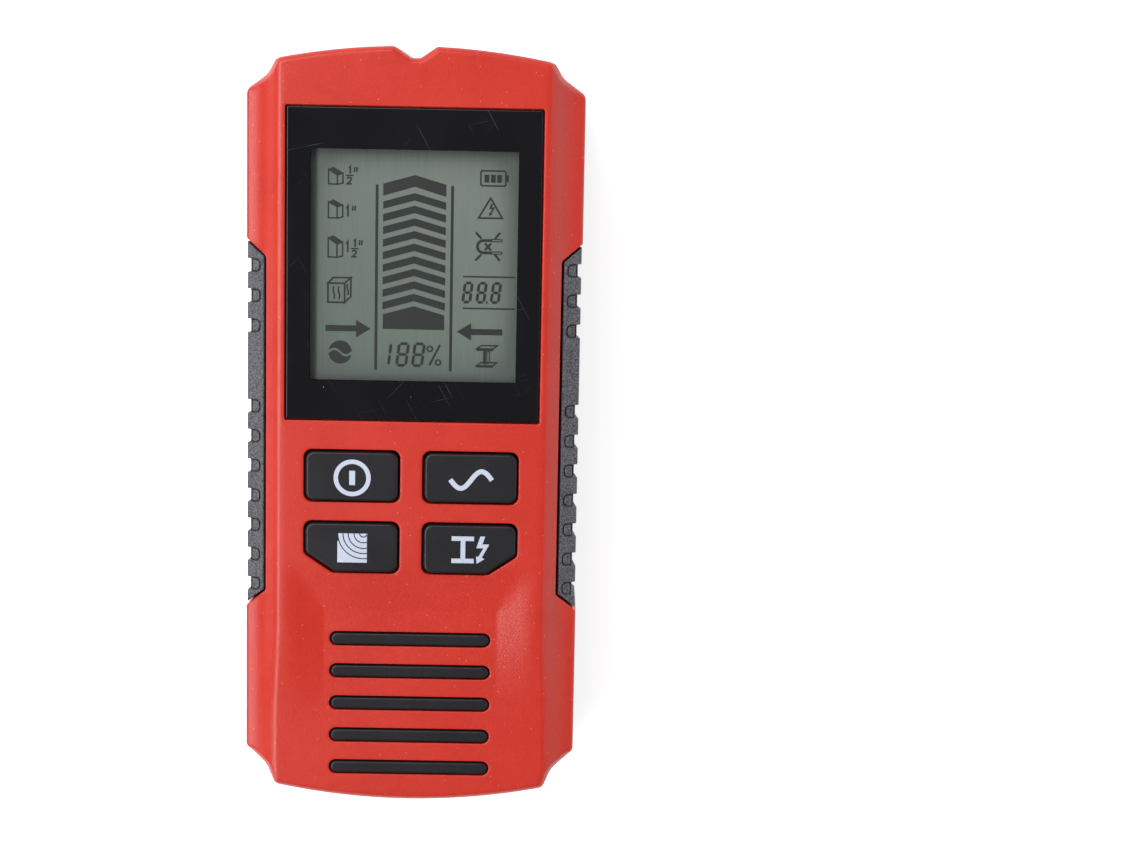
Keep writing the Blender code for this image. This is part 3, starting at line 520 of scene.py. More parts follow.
def edge_rings(path):
    """The rounded upper edge of the case.

    Each ring lies inside the outline by size * (1 - cos(a) ** k) and below the
    surface by size * (1 - sin(a) ** k): k = 1 is a quarter round, and k = 1.6
    is nearly a 45 degree chamfer, as at the two ends.
    """
    x, y = np.abs(path[:, 0]), np.abs(path[:, 1])
    ends = smooth((HALF_WIDTH - x) / 1.2) * smooth((y - 62) / 3)
    pocket = np.where(beyond_pocket(path), smooth((HALF_WIDTH - x) / 0.8), 0)
    size = EDGE_SIZE + EDGE_AT_ENDS * ends + EDGE_AT_POCKETS * pocket
    power = 1 + 0.6 * ends
    rings = []
    for sine, cosine in quarter_turn(10):
        side = max(cosine, 1e-9) ** power
        rise = max(sine, 1e-9) ** power
        loop = inset(path, size * (1 - side))
        rings.append(at_height(loop, case_height(loop) - size * (1 - rise)))
    return rings


def hollow_path(wide):
    """The hollow of the case from above; its wide lower part steps in behind the grips."""
    x, behind, side = HOLLOW_X
    rear, front = HOLLOW_Y
    low, high = HOLLOW_GRIP_Y
    drop = end_drop([x / 2, x])
    half = [(x / 2, front - drop[0]), (x, front - drop[1])]
    if wide:
        half += [
            (side, HOLLOW_SIDE_Y), (side, high + HOLLOW_SLANT), (behind, high), (behind, low),
            (side, low - HOLLOW_SLANT), (side, -HOLLOW_SIDE_Y),
        ]
    half = np.array([*half, (x, rear + drop[1]), (x / 2, rear + drop[0])])
    points = np.vstack([[(0.0, front)], half, [(0.0, rear)], half[::-1] * (-1, 1)])
    return spaced(points[::-1], 2.0)


def surface_points():
    """Where the face is sampled: closer over the crest, the flanks and the panel's creases."""
    foot = PANEL_SIDES[0] - PANEL_SIDES[1]
    plain = np.arange(0, 25.5, 1.45)
    crease = foot + np.array([-0.8, -0.45, -0.2, 0, 0.2, 0.45, 0.8])
    flank = np.array([
        25.75, 26.05, 26.3, 26.52, 26.74, 26.96, 27.2, 27.5, 27.85, 28.25, 28.65, 29.1,
        29.6, 30.1, 30.6, 31.1, 31.6, 32.05, 32.35,
    ])
    half = np.concatenate([plain[np.abs(plain - foot) > 1.2], crease, flank])
    x = np.unique(np.concatenate([-half, half]))
    y = np.concatenate([
        np.arange(-74.3, -37.1, 1.1), np.arange(-36.6, -35.1, 0.22), np.arange(-34.6, -28, 1.1),
        np.arange(-27.5, -26.2, 0.22), np.arange(-25.7, 74, 1.1),
    ])
    return np.stack(np.meshgrid(x, y), -1).reshape(-1, 2)


def make_front_case(finish):
    """Front shell: outer wall, rounded edge, sculpted face with its openings, and hollow."""
    shell = Shell()
    path = case_path()
    wide = under_grips(path)
    rings = [
        at_height(inset(wide, FOOT_EDGE), FRONT_Z),
        at_height(inset(wide, FOOT_EDGE / 3), FRONT_Z + FOOT_EDGE / 5),
        at_height(wide, FRONT_Z + FOOT_EDGE), at_height(wide, GRIP_LEDGE_Z),
        at_height(path, GRIP_LEDGE_Z), *edge_rings(drafted(path)),
    ]
    shell.skin(rings)
    outline = rings[-1][:, :2]
    floors = [
        key_path(KEY_OPENING, side, slanted) + at for _, at, side, slanted in key_list()
    ]
    rims = [opening(shell, hole, OPENING_ROUND, CEILING_Z) for hole in floors]
    slots = [rib_path(y, RIB_GAP) for y in RIB_ROWS]
    rims += [opening(shell, slot, RIB_OPENING_ROUND, CEILING_Z) for slot in slots]
    floors += slots
    rebate = rectangle(*WINDOW, 0.35)
    rims.append(opening(shell, rebate, OPENING_ROUND, WINDOW_LEDGE_Z))
    x, y, width, height = WINDOW
    through = rectangle(x, y, width - 2 * WINDOW_LEDGE, height - 2 * WINDOW_LEDGE, 0.3)
    shell.sheet([rebate, through], WINDOW_LEDGE_Z)
    shell.wall(through, WINDOW_LEDGE_Z, CEILING_Z)
    floors.append(through)
    loops = [outline, *rims]
    beside = [inset(rim, -0.5) for rim in rims] + [inset(outline, 0.45)]
    points = surface_points()
    points = points[inside(points, loops)]
    points = clear_of(points, [*loops, *beside], 0.32)
    shell.sheet(loops, case_height, [points, *beside])
    lower, upper = hollow_path(True), hollow_path(False)
    shell.sheet([inset(wide, FOOT_EDGE), lower], FRONT_Z)
    shell.wall(lower, FRONT_Z, HOLLOW_STEP_Z)
    shell.sheet([lower, upper], HOLLOW_STEP_Z)
    shell.wall(upper, HOLLOW_STEP_Z, CEILING_Z)
    shell.sheet([upper, *floors], CEILING_Z)
    return shell.piece("front_case_shell", finish, "case", ["front_case"], 40)


def cad_copy(node):
    """A welded copy of a CAD node's mesh."""
    work = bmesh.new()
    work.from_mesh(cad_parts[node].data)
    bmesh.ops.remove_doubles(work, verts=work.verts, dist=WELD)
    bmesh.ops.dissolve_limit(
        work, angle_limit=math.radians(0.5), verts=work.verts, edges=work.edges,
    )
    mesh = bpy.data.meshes.new(node + "_copy")
    work.to_mesh(mesh)
    work.free()
    return mesh


def common(mesh, other):
    """What two closed meshes have in common, by an exact Boolean."""
    base, tool = added("base", mesh), added("tool", other)
    step = base.modifiers.new("common", "BOOLEAN")
    step.operation = "INTERSECT"
    step.solver = "EXACT"
    step.object = tool
    made = bpy.data.meshes.new_from_object(
        base.evaluated_get(bpy.context.evaluated_depsgraph_get()),
    )
    bpy.data.objects.remove(base)
    bpy.data.objects.remove(tool)
    return made


def make_rear_case(finish):
    """Rear shell: the CAD shell cut to a finer outline with round edges below and above."""
    wide = inset(under_grips(case_path()), 0.05)
    wide = wide[np.linalg.norm(wide - np.roll(wide, 1, 0), axis=1) > 0.05]
    shell = Shell()
    low, high = REAR_Z
    below, above = REAR_EDGES
    rings = []
    for sine, cosine in quarter_turn(7):
        loop = inset(wide, below * (1 - sine))
        rings.append(at_height(loop, low - SKIN + below * (1 - cosine)))
    for sine, cosine in quarter_turn(4):
        loop = inset(wide, above * (1 - cosine))
        rings.append(at_height(loop, high + SKIN - above * (1 - sine)))
    shell.skin(rings)
    shell.sheet([rings[0][:, :2]], rings[0][0, 2])
    shell.sheet([rings[-1][:, :2]], rings[-1][0, 2])
    made = common(cad_copy("rear_case"), shell.mesh("rear_envelope"))
    return fitted(made, "rear_case_shell", finish, "case", ["rear_case"], 38)


def make_door(finish):
    """Battery door: the CAD door with its edges rounded."""
    thing = fitted(
        cad_copy("battery_door"), "battery_door_plate", finish, "battery_door",
        ["battery_door"], 38,
    )
    edge = thing.modifiers.new("edges", "BEVEL")
    edge.width = DOOR_EDGE * MM
    edge.segments = 2
    edge.limit_method = "ANGLE"
    edge.angle_limit = math.radians(40)
    return thing


# -------- grips, keys, ribs, window


def edge_cut(reach, size):
    """Height lost near an edge: a quarter round."""
    short = np.clip(1 - reach / size, 0, 1)
    return size * (1 - np.sqrt(1 - short**2))


def pad_cut(x, y):
    """Height lost on a scallop's pad and in the groove round it.

    The groove is a bell curve of the distance to the pad's outline, whose
    corners are round towards the middle of the case and nearly square outside.
    """
    off = np.abs(y - SCALLOP_ROWS[np.abs(y[..., None] - SCALLOP_ROWS).argmin(-1)])
    corner = np.where(x < PAD_CORNER_X, *PAD_CORNERS)
    beside = np.abs(x - PAD_X) - (PAD_HALF[0] - corner)
    above = off - (PAD_HALF[1] - corner)
    away = np.hypot(np.maximum(beside, 0), np.maximum(above, 0)) - corner
    away = np.maximum(away, np.maximum(beside, above) - corner)
    return PAD_DROP * smooth(-away / 0.1) + GROOVE_DEPTH * np.exp(-((away / GROOVE_HALF) ** 2))


def make_grip(side, name, finish):
    """A side grip.

    The section runs up the inner face, across the flank's curve less a small
    drop, and down the outer face. Along the case it steps in at each scallop,
    whose top carries a shallow pad with two round corners and a groove round
    it, and both ends are cut at a slant.
    """
    low_end, high_end = GRIP_ENDS
    steps = np.linspace(1.1, 1.5, 9)
    near = np.concatenate([-steps, np.linspace(-1.0, 1.0, 21), steps])
    first, last = -35.4, 37.2
    rows = [
        np.arange(first, last, 0.6), np.arange(32.9, last, 0.12), np.arange(first, -31, 0.12),
        (SCALLOP_ROWS[:, None] + near).ravel(),
    ]
    y = np.unique(np.round(np.concatenate(rows), 2))
    inner, outer = GRIP_X
    across = np.concatenate([
        inner + np.array([0, 0.02, 0.06, 0.13, 0.22, 0.32, 0.43, 0.55, 0.7]),
        np.arange(30.0, 32.3, 0.07), outer - np.array([0.35, 0.28, 0.2, 0.13, 0.06, 0.02, 0]),
    ])
    from_row = np.abs(y[:, None] - SCALLOP_ROWS).min(1)
    scallop = smooth((SCALLOP_HALF + 0.03 - from_row) / 0.08)
    limit = (outer - SCALLOP_DEPTH * scallop)[:, None]
    x = np.minimum(across[None], limit)
    slant = POCKET_SLANT * (x - inner)
    along = np.clip(y[:, None], low_end - slant, high_end + slant)
    to_end = np.minimum(high_end + slant - along, along - low_end + slant)
    to_end = to_end / math.hypot(1, POCKET_SLANT)
    z = flank_height(x) - GRIP_DROP - pad_cut(x, along) - np.max([
        edge_cut(limit - x, GRIP_EDGE), edge_cut(x - inner, GRIP_INNER_EDGE),
        edge_cut(to_end, GRIP_EDGE),
    ], 0)
    top = np.stack([side * x, along, z], -1)
    levels = np.linspace(1, 0, 4)[1:, None]

    def wall(column):
        """The face under one edge of the top, which leans in where there is room for it."""
        edge = top[:, column]
        face = np.repeat(edge[None], len(levels), 0)
        height = face[..., 2] - GRIP_Z
        lean = GRIP_TAPER * height * (1 - levels)
        room = np.maximum(np.abs(face[..., 0]) - UNDER_GRIP_X, 0)
        face[..., 0] -= side * np.minimum(lean, room)
        face[..., 2] = GRIP_Z + height * levels
        return face.transpose(1, 0, 2)

    section = np.concatenate([wall(0)[:, ::-1], top, wall(-1)], 1)
    shell = Shell()
    shell.skin(section)
    count = section.shape[1]
    for row in (0, -1):
        loop = section[row]
        spread = np.linspace(0, 1, count)
        foot = loop[0] * (1 - spread[:, None]) + loop[-1] * spread[:, None]
        here = np.arange(count)
        quads = np.stack([here[:-1], here[1:], here[1:] + count, here[:-1] + count], 1)
        shell.add(np.vstack([loop, foot]), quads)
    return shell.piece(f"{name}_grip_pad", finish, "case", [f"{name}_grip"], 42)


def make_key(label, at, side, slanted, finish):
    """A key cap with a rounded rim above a wider flange."""
    flange = key_path(KEY_FLANGE, side, slanted) + at
    cap = key_path(KEY_CAP, side, slanted) + at
    shell = Shell()
    low, high = KEY_FLANGE_Z
    shell.sheet([flange], low)
    shell.wall(flange, low, high)
    shell.sheet([flange, cap], high)
    pillow(shell, cap, high, KEY_TOP_Z, KEY_RIM, 7)
    return shell.piece(f"{label}_key_cap", finish, f"{label}_key", [f"{label}_key"], 50)


def make_ribs(finish):
    """Five ribs with round edges on the plate behind the panel."""
    shell = Shell()
    low, high, top = RIB_Z
    plate = rectangle(*RIB_PLATE, 1.0)
    shell.sheet([plate], low)
    shell.wall(plate, low, high)
    bars = [rib_path(y) for y in RIB_ROWS]
    shell.sheet([plate, *bars], high)
    for bar in bars:
        pillow(shell, bar, high, top, RIB_EDGE, 6)
    return shell.piece("panel_ribs", finish, "case", ["rib_insert"], 50)


def make_window(finish):
    """The window: a slab with a fine rounded edge."""
    shell = Shell()
    x, y, width, height = WINDOW
    path = rectangle(x, y, width - WINDOW_PLAY, height - WINDOW_PLAY, 0.3)
    shell.sheet([path], WINDOW_Z[0])
    pillow(shell, path, *WINDOW_Z, WINDOW_EDGE)
    return shell.piece("window_pane", finish, "case", ["display_window"], 50)


# -------- printed marks


def stroke(points, width):
    """A line of even width with square ends: both offsets of the open path, joined."""
    p = np.asarray(points, float)
    along = unit(np.diff(p, axis=0))
    before = np.vstack([along[:1], along])
    after = np.vstack([along, along[-1:]])
    side = mitre(before, after) * width / 2
    return np.vstack([p - side, (p + side)[::-1]])


def ring(path, width):
    """The two loops of a line of even width along a closed anticlockwise path."""
    path = np.asarray(path, float)
    return [inset(path, -width / 2), inset(path, width / 2)]


def make_marks(name, shapes, low, finish, body):
    """Flat printed shapes: each is an outer loop with its holes, given a small thickness.

    Neighbours differ a little in height, so that tops that overlap never coincide.
    """
    shell = Shell()
    for rank, shape in enumerate(shapes):
        loops = [np.asarray(loop, float) for loop in shape]
        top = low + MARK_HEIGHT + MARK_STEP * (rank % 7)
        shell.sheet(loops, low)
        shell.sheet(loops, top)
        for loop in loops:
            shell.wall(loop, low, top)
    return shell.piece(name, finish, body)


SEGMENTS = {
    "a": ((0, 2), (1, 2)), "b": ((1, 2), (1, 1)), "c": ((1, 1), (1, 0)), "d": ((0, 0), (1, 0)),
    "e": ((0, 1), (0, 0)), "f": ((0, 2), (0, 1)), "g": ((0, 1), (1, 1)),
}


def digit(x, y, width, height, line, lit="abcdefg", lean=0.12):
    """A seven-segment figure: six-sided bars with pointed ends, leaning to the right."""
    bars = []
    for name in lit:
        ends = np.array(SEGMENTS[name], float) * (width - line, height / 2 - line / 2)
        along = unit(ends[1] - ends[0])
        across = np.array([-along[1], along[0]]) * line / 2
        a, b = ends[0] + along * line * 0.12, ends[1] - along * line * 0.12
        short = along * line / 2
        bar = np.array([
            a, a + short - across, b - short - across, b, b - short + across, a + short + across,
        ])
        bar = bar + (x + line / 2, y + line / 2)
        bar[:, 0] += lean * (bar[:, 1] - y)
        bars.append([bar])
    return bars


def bolt(x, y, size):
    """A lightning bolt with an arrow tip."""
    points = np.array([
        (0.07, 1.0), (0.42, 1.0), (0.22, 0.42), (0.72, 0.42), (0.18, -0.55), (0.37, -0.65),
        (-0.19, -1.0), (-0.24, -0.47), (-0.07, -0.49), (0.3, 0.13), (-0.22, 0.13),
    ])
    return points[::-1] * size + (x, y)


def small_one(x, y, height):
    """A small upright figure one."""
    return [stroke([(x - 0.28, y + height * 0.78), (x, y + height), (x, y)], 0.34)]


def small_two(x, y, height):
    """A small upright figure two."""
    return [stroke([
        (x - 0.42, y + height * 0.78), (x - 0.3, y + height * 0.96), (x, y + height),
        (x + 0.32, y + height * 0.86), (x + 0.32, y + height * 0.6), (x - 0.42, y + 0.08),
        (x + 0.45, y + 0.08),
    ], 0.31)]


def small_figures(x, y, which):
    """The figures of a depth mark, in inches: one, a half, or both."""
    shapes = []
    if "one" in which:
        shapes.append(small_one(x + 0.35, y, 2.0))
        x += 1.05
    if "half" in which:
        shapes += [small_one(x + 0.75, y + 1.05, 1.35), small_two(x + 0.6, y - 1.0, 1.35)]
        shapes.append([stroke([(x - 0.1, y + 0.7), (x + 1.4, y + 0.7)], 0.26)])
        x += 1.35
    top = y + (2.35 if "half" in which else 2.1)
    for step in (0.3, 0.75):
        shapes.append([stroke([(x + step, top), (x + step - 0.12, top - 0.95)], 0.3)])
    return shapes


def block(x, y, height, depth):
    """A block cut at a slant: outlined front and side under a dark sloping top."""
    front = [(x, y), (x + 1.7, y - 0.05), (x + 1.7, y + height - depth), (x, y + height)]
    side = [
        (x + 1.7, y - 0.05), (x + 2.8, y + 0.2), (x + 2.8, y + height - depth * 0.65),
        (x + 1.7, y + height - depth),
    ]
    lid = [
        (x - 0.1, y + height - 0.05), (x + 1.7, y + height - depth - 0.15),
        (x + 2.9, y + height - depth * 0.63), (x + 0.95, y + height + 0.5),
    ]
    return [ring(front, 0.28), ring(side, 0.28), [lid]]


def level_shapes():
    """The column of nine chevrons between two lines, with its cap and foot."""
    apex = 46.88 - 2.45 * np.arange(9)
    chevron = np.array([
        (-6.1, -3.15), (0, -1.43), (6.1, -3.15), (6.1, -1.72), (0, 0), (-6.1, -1.72),
    ])
    return [
        *[[rectangle(side * 7.32, 30.3, 0.55, 36.2)] for side in (-1, 1)],
        [[(-6.12, 46.26), (0, 48.1), (6.12, 46.26), (6.12, 48.6), (0, 50.36), (-6.12, 48.6)]],
        *[[chevron + (0, y)] for y in apex],
        [[(-6, 20.31), (6, 20.31), (6, 23.18), (0, 24.86), (-6, 23.18)]],
    ]


def percentage_shapes():
    """Three figures and a per cent sign."""
    return [
        *digit(-5.6, 12.93, 1.0, 4.84, 0.56, "bc"), *digit(-3.55, 12.93, 2.35, 4.84, 0.56),
        *digit(-0.45, 12.93, 2.35, 4.84, 0.56), [stroke([(3.2, 13.3), (5.25, 17.4)], 0.4)],
        ring(circle(3.25, 16.55, 0.5, 20), 0.32), ring(circle(4.9, 13.9, 0.5, 20), 0.32),
    ]


def depth_shapes():
    """Three blocks with their depths, and a block of wood with its grain."""
    shapes = []
    for y, height, depth, which in (
        (48.35, 2.85, 1.15, "half"), (41.8, 3.1, 0.95, "one"), (34.2, 3.75, 1.25, "one half"),
    ):
        shapes += block(-16.75, y, height, depth)
        shapes += small_figures(-13.3, y + (1.0 if "half" in which else 0.3), which)
    front = [(-16.75, 25.35), (-13.5, 25.35), (-13.5, 29.1), (-16.75, 29.1)]
    lid = [(-16.75, 29.1), (-13.5, 29.1), (-12.3, 30.2), (-15.7, 30.2)]
    side = [(-13.5, 25.35), (-12.3, 26.5), (-12.3, 30.2), (-13.5, 29.1)]
    shapes += [ring(face, 0.34) for face in (front, lid, side)]
    wave = np.linspace(0, 1, 14)
    for x, low, high in ((-15.6, 26.0, 28.5), (-14.6, 26.0, 28.5), (-12.9, 26.8, 29.0)):
        grain = np.stack([x + 0.13 * np.sin(wave * 2 * np.pi), low + (high - low) * wave], 1)
        shapes.append([stroke(grain, 0.3)])
    return shapes


def arrow_shapes():
    """The two arrows and the sign for alternating current."""
    left = [
        (-17.2, 19.72), (-11.2, 19.72), (-11.2, 18.55), (-8.35, 20.3), (-11.2, 21.95),
        (-11.2, 20.88), (-17.2, 20.88),
    ]
    right = [
        (17.4, 20.62), (11.3, 20.62), (11.3, 21.75), (8.5, 20.05), (11.3, 18.35),
        (11.3, 19.45), (17.4, 19.45),
    ]
    x = np.linspace(-2.25, 2.25, 25)
    swell = 0.62 * np.sin(-np.pi * x / 2.25)
    upper = np.vstack([np.stack([x, swell + 0.24], 1)[3:-1], arc(0, 0, 2.28, 6, 168, 26)])
    return [[left], [right], [upper + (-14.3, 15.6)], [-upper + (-14.3, 15.6)]]


def warning_shapes():
    """Battery level, live wire in a triangle, and a crossed-out magnet."""
    bend = arc(13.5, 36.75, 1.2, 90, 270, 18)
    return [
        ring(rectangle(15.2, 50.0, 4.85, 2.9, 0.35), 0.3), [rectangle(17.98, 50.0, 0.42, 1.3)],
        *[[rectangle(x, 49.95, 0.92, 1.5)] for x in (13.95, 15.2, 16.4)],
        ring([(12.45, 42.3), (17.05, 42.3), (14.75, 46.2)], 0.34), [bolt(14.75, 43.9, 1.2)],
        [stroke(np.vstack([[(15.0, 37.95)], bend, [(15.0, 35.55)]]), 0.54)],
        *[ring(rectangle(16.05, y, 2.0, 0.42), 0.2) for y in (37.95, 35.55)],
        *[[stroke(line, 0.44)] for line in (
            ((11.95, 39.5), (13.05, 38.3)), ((11.95, 34.05), (13.05, 35.2)),
            ((16.7, 39.5), (15.7, 38.3)), ((16.7, 34.05), (15.7, 35.25)),
            ((13.75, 37.4), (14.95, 36.05)), ((13.75, 36.05), (14.95, 37.4)),
        )],
    ]


def reading_shapes():
    """The distance between two lines, and a steel beam."""
    shapes = []
    for x in (9.25, 12.0, 14.8):
        shapes += digit(x, 25.6, 1.95, 4.3, 0.56)
    return [
        *shapes, [rectangle(14.3, 25.85, 0.34, 0.4)],
        *[[rectangle(14.7, y, 10.2, 0.3)] for y in (30.85, 24.65)],
        ring([(12.45, 16.75), (15.6, 16.75), (16.5, 17.4), (13.4, 17.4)], 0.28),
        [rectangle(14.05, 16.5, 3.3, 0.34)], [rectangle(14.0, 15.0, 0.55, 2.6)],
        ring([(14.45, 13.75), (14.95, 14.1), (14.95, 16.2), (14.45, 16.2)], 0.18),
        ring([(12.45, 13.4), (15.6, 13.4), (16.4, 14.05), (13.4, 14.05)], 0.28),
        [rectangle(14.05, 13.22, 3.3, 0.32)],
    ]


def display_shapes():
    """Every mark on the display."""
    return [
        *level_shapes(), *percentage_shapes(), *depth_shapes(), *arrow_shapes(),
        *warning_shapes(), *reading_shapes(),
    ]


def wood_symbol():
    """A square of end grain: round bands about a point near its upper right corner."""
    size, line, beyond = 5.82, 0.21, 0.72
    centre = np.array([-8.55 - beyond, -19.97])
    right, left, foot = centre[0] + beyond, centre[0] + beyond - size, centre[1] - size
    radii = np.array([0.7, 1.83, 2.97, 4.0, 5.02])
    last = 270 + np.degrees(np.arcsin(beyond / np.maximum(radii, beyond)))
    core = arc(*centre, radii[0] - line / 2, 180, 350, 20)
    grain = [[np.vstack([core, [(right, centre[1] - 0.1)], [(right, centre[1])]])]]
    for k in range(4):
        inner = arc(*centre, radii[k] + line / 2, last[k], 180, 24)
        outer = arc(*centre, radii[k + 1] - line / 2, 180, last[k + 1], 24)
        inner[0, 0] = outer[-1, 0] = right
        grain.append([np.vstack([outer, inner])])
    rest = arc(*centre, radii[4] + line / 2, last[4], 197, 28)
    rest[0, 0] = right
    grain.append([np.vstack([rest, [(left, rest[-1, 1] - 0.05), (left, foot), (right, foot)]])])
    return grain


def metal_symbol():
    """A steel beam and a spark."""
    x, y = KEY_X, KEY_ROWS[1]
    beam = np.array([
        (-3.53, -2.69), (0.88, -2.69), (0.88, -1.79), (-0.8, -1.79), (-0.8, 1.77), (0.88, 1.77),
        (0.88, 2.67), (-3.53, 2.67), (-3.53, 1.77), (-1.75, 1.77), (-1.75, -1.79), (-3.53, -1.79),
    ]) + (x, y)
    spark = np.array([
        (2.14, 2.72), (1.35, 0.36), (2.77, 0.36), (1.77, -1.38), (1.3, -1.32), (1.45, -2.79),
        (2.98, -1.8), (2.45, -1.53), (3.92, 1.14), (2.56, 1.14), (3.08, 2.72),
    ]) + (x, y)
    return [[beam], [spark]]


def key_shapes():
    """The printed symbol of each key."""
    power = [
        [circle(-11.55, -8.9, 3.65, 72), circle(-11.55, -8.9, 2.77, 72)],
        [rectangle(-11.55, -8.9, 1.15, 2.85)],
    ]
    t = np.linspace(-1, 1, 41)
    swell = np.stack([11.8 + 4.1 * t, -8.9 + 1.7 * np.sin(np.pi * t)], 1)
    wave = [[stroke(swell, 0.95)]]
    return {"power": power, "ac": wave, "wood": wood_symbol(), "metal": metal_symbol()}


# -------- finishes


def tone(red, green, blue):
    """A colour given from 0 to 255, as light values."""
    c = np.array([red, green, blue]) / 255
    light = np.where(c <= 0.04045, c / 12.92, ((c + 0.055) / 1.055) ** 2.4)
    return (*[float(v) for v in light], 1.0)


class Value:
    """A number that varies over the surface; operators add Math nodes."""

    def __init__(self, finish, socket):
        self.finish, self.socket = finish, socket

    def math(self, operation, *others):
        """One Math node on this value and the others."""
        values = dict(enumerate((self, *others)))
        return self.finish.node("ShaderNodeMath", {"operation": operation}, values)

    def __add__(self, other):
        return self.math("ADD", other)

    def __sub__(self, other):
        return self.math("SUBTRACT", other)

    def __mul__(self, other):
        return self.math("MULTIPLY", other)

    def __truediv__(self, other):
        return self.math("DIVIDE", other)

    def __gt__(self, other):
        return self.math("GREATER_THAN", other)

    def __lt__(self, other):
        return self.math("LESS_THAN", other)

    __radd__ = __add__


class Finish:
    """The node tree of one material, on Object coordinates in millimetres."""

    def __init__(self, name, **constants):
        self.material = bpy.data.materials.new(name)
        self.material.use_nodes = True
        self.tree = self.material.node_tree
        self.shader = self.tree.nodes["Principled BSDF"]
        for key, value in constants.items():
            self.shader.inputs[key.replace("_", " ")].default_value = value
        where = self.node("ShaderNodeTexCoord", out="Object")
        self.where = self.node(
            "ShaderNodeMapping", inputs={"Vector": where, "Scale": (1 / MM,) * 3}, out="Vector",
        )

    def node(self, kind, settings=None, inputs=None, out=0):
        """A node of this type, its settings first, then its sockets' values or links."""
        made = self.tree.nodes.new(kind)
        for key, value in (settings or {}).items():
            setattr(made, key, value)
        for key, value in (inputs or {}).items():
            if isinstance(value, Value):
                self.tree.links.new(value.socket, made.inputs[key])
            else:
                made.inputs[key].default_value = value
        return Value(self, made.outputs[out])

    def set(self, **links):
        """Link values that vary to the shader's sockets."""
        for key, value in links.items():
            self.tree.links.new(value.socket, self.shader.inputs[key.replace("_", " ")])

    def made(self, colour, roughness, height, depth):
        """The material with its colour, its roughness and a bump on this height."""
        self.set(Base_Color=colour, Roughness=roughness, Normal=self.bump(height, depth))
        return self.material

    def noise(self, size, detail=2.0, rough=0.5, stretch=(1.0, 1.0, 1.0), turned=0.0):
        """Noise whose features are about this size in millimetres."""
        where = self.node("ShaderNodeMapping", {"vector_type": "TEXTURE"}, {
            "Vector": self.where, "Scale": stretch, "Rotation": (0.0, 0.0, turned),
        })
        return self.node("ShaderNodeTexNoise", {}, {
            "Vector": where, "Scale": 1.0 / size, "Detail": detail, "Roughness": rough,
        })

    def cells(self, size):
        """Distance to the nearest of scattered points, in cells, and that point's own number."""
        settings = {"feature": "F1", "distance": "EUCLIDEAN"}
        inputs = {"Vector": self.where, "Scale": 1.0 / size}
        near = self.node("ShaderNodeTexVoronoi", settings, inputs, "Distance")
        colour = Value(self, near.socket.node.outputs["Color"])
        number = self.node("ShaderNodeSeparateColor", {}, {"Color": colour}, "Red")
        return near, number

    def blend(self, share, first, second):
        """A colour between two, by a share from 0 to 1."""
        return self.node(
            "ShaderNodeMix", {"data_type": "RGBA"}, {0: share, 6: first, 7: second}, 2,
        )

    def ramp(self, value, low, high):
        """0 below low, 1 above high, level at both."""
        return self.node("ShaderNodeMapRange", {"interpolation_type": "SMOOTHSTEP"}, {
            "Value": value, "From Min": low, "From Max": high,
        })

    def bump(self, height, depth):
        """A bump of this depth in millimetres."""
        inputs = {"Height": height, "Distance": depth * MM}
        return self.node("ShaderNodeBump", {}, inputs, "Normal")

    def axis(self, name):
        """One coordinate in millimetres."""
        return self.node("ShaderNodeSeparateXYZ", {}, {"Vector": self.where}, name)


def moulded(
    name, dark, light, roughness, grain=0.22, depth=0.012, dust=0.0, painted_glints=0.0, clouds=0.45,
    **constants,
):
    """Moulded plastic or rubber: an eroded grain, faint clouding, painted glints as light specks,
    and dust.
    """
    finish = Finish(name, **constants)
    fine = finish.noise(grain, 3.0, 0.65)
    broad = finish.noise(14.0, 2.0)
    streak = finish.noise(2.2, 3.0, 0.6)
    share = fine * (1 - clouds) + broad * (clouds * 0.55) + streak * (clouds * 0.45)
    share = finish.ramp(share, 0.32, 0.68)
    colour = finish.blend(share, tone(*dark), tone(*light))
    rough = roughness + (fine - 0.5) * 0.08 + (broad - 0.5) * 0.08
    # painted glints: pale specks standing for the eroded grain catching the lamps
    if painted_glints:
        near, number = finish.cells(1.3)
        speck = (near < 0.07) * (number > 0.45) * painted_glints
        colour = finish.blend(speck, colour, tone(250, 190, 180))
    if dust:
        near, number = finish.cells(5.5)
        speck = (near < 0.018) * (number > 1 - dust)
        colour = finish.blend(speck, colour, tone(240, 225, 220))
    return finish.made(colour, rough, fine, depth)


def plain_metal(name, dark, light, roughness):
    """Metal with fine drawn lines and a little tarnish."""
    finish = Finish(name, Metallic=1.0)
    fine = finish.noise(1.2, 3.0, 0.6, (12.0, 1.0, 1.0))
    broad = finish.noise(4.0)
    colour = finish.blend(finish.ramp(broad, 0.35, 0.65), tone(*dark), tone(*light))
    return finish.made(colour, roughness + (fine - 0.5) * 0.2, fine, 0.01)


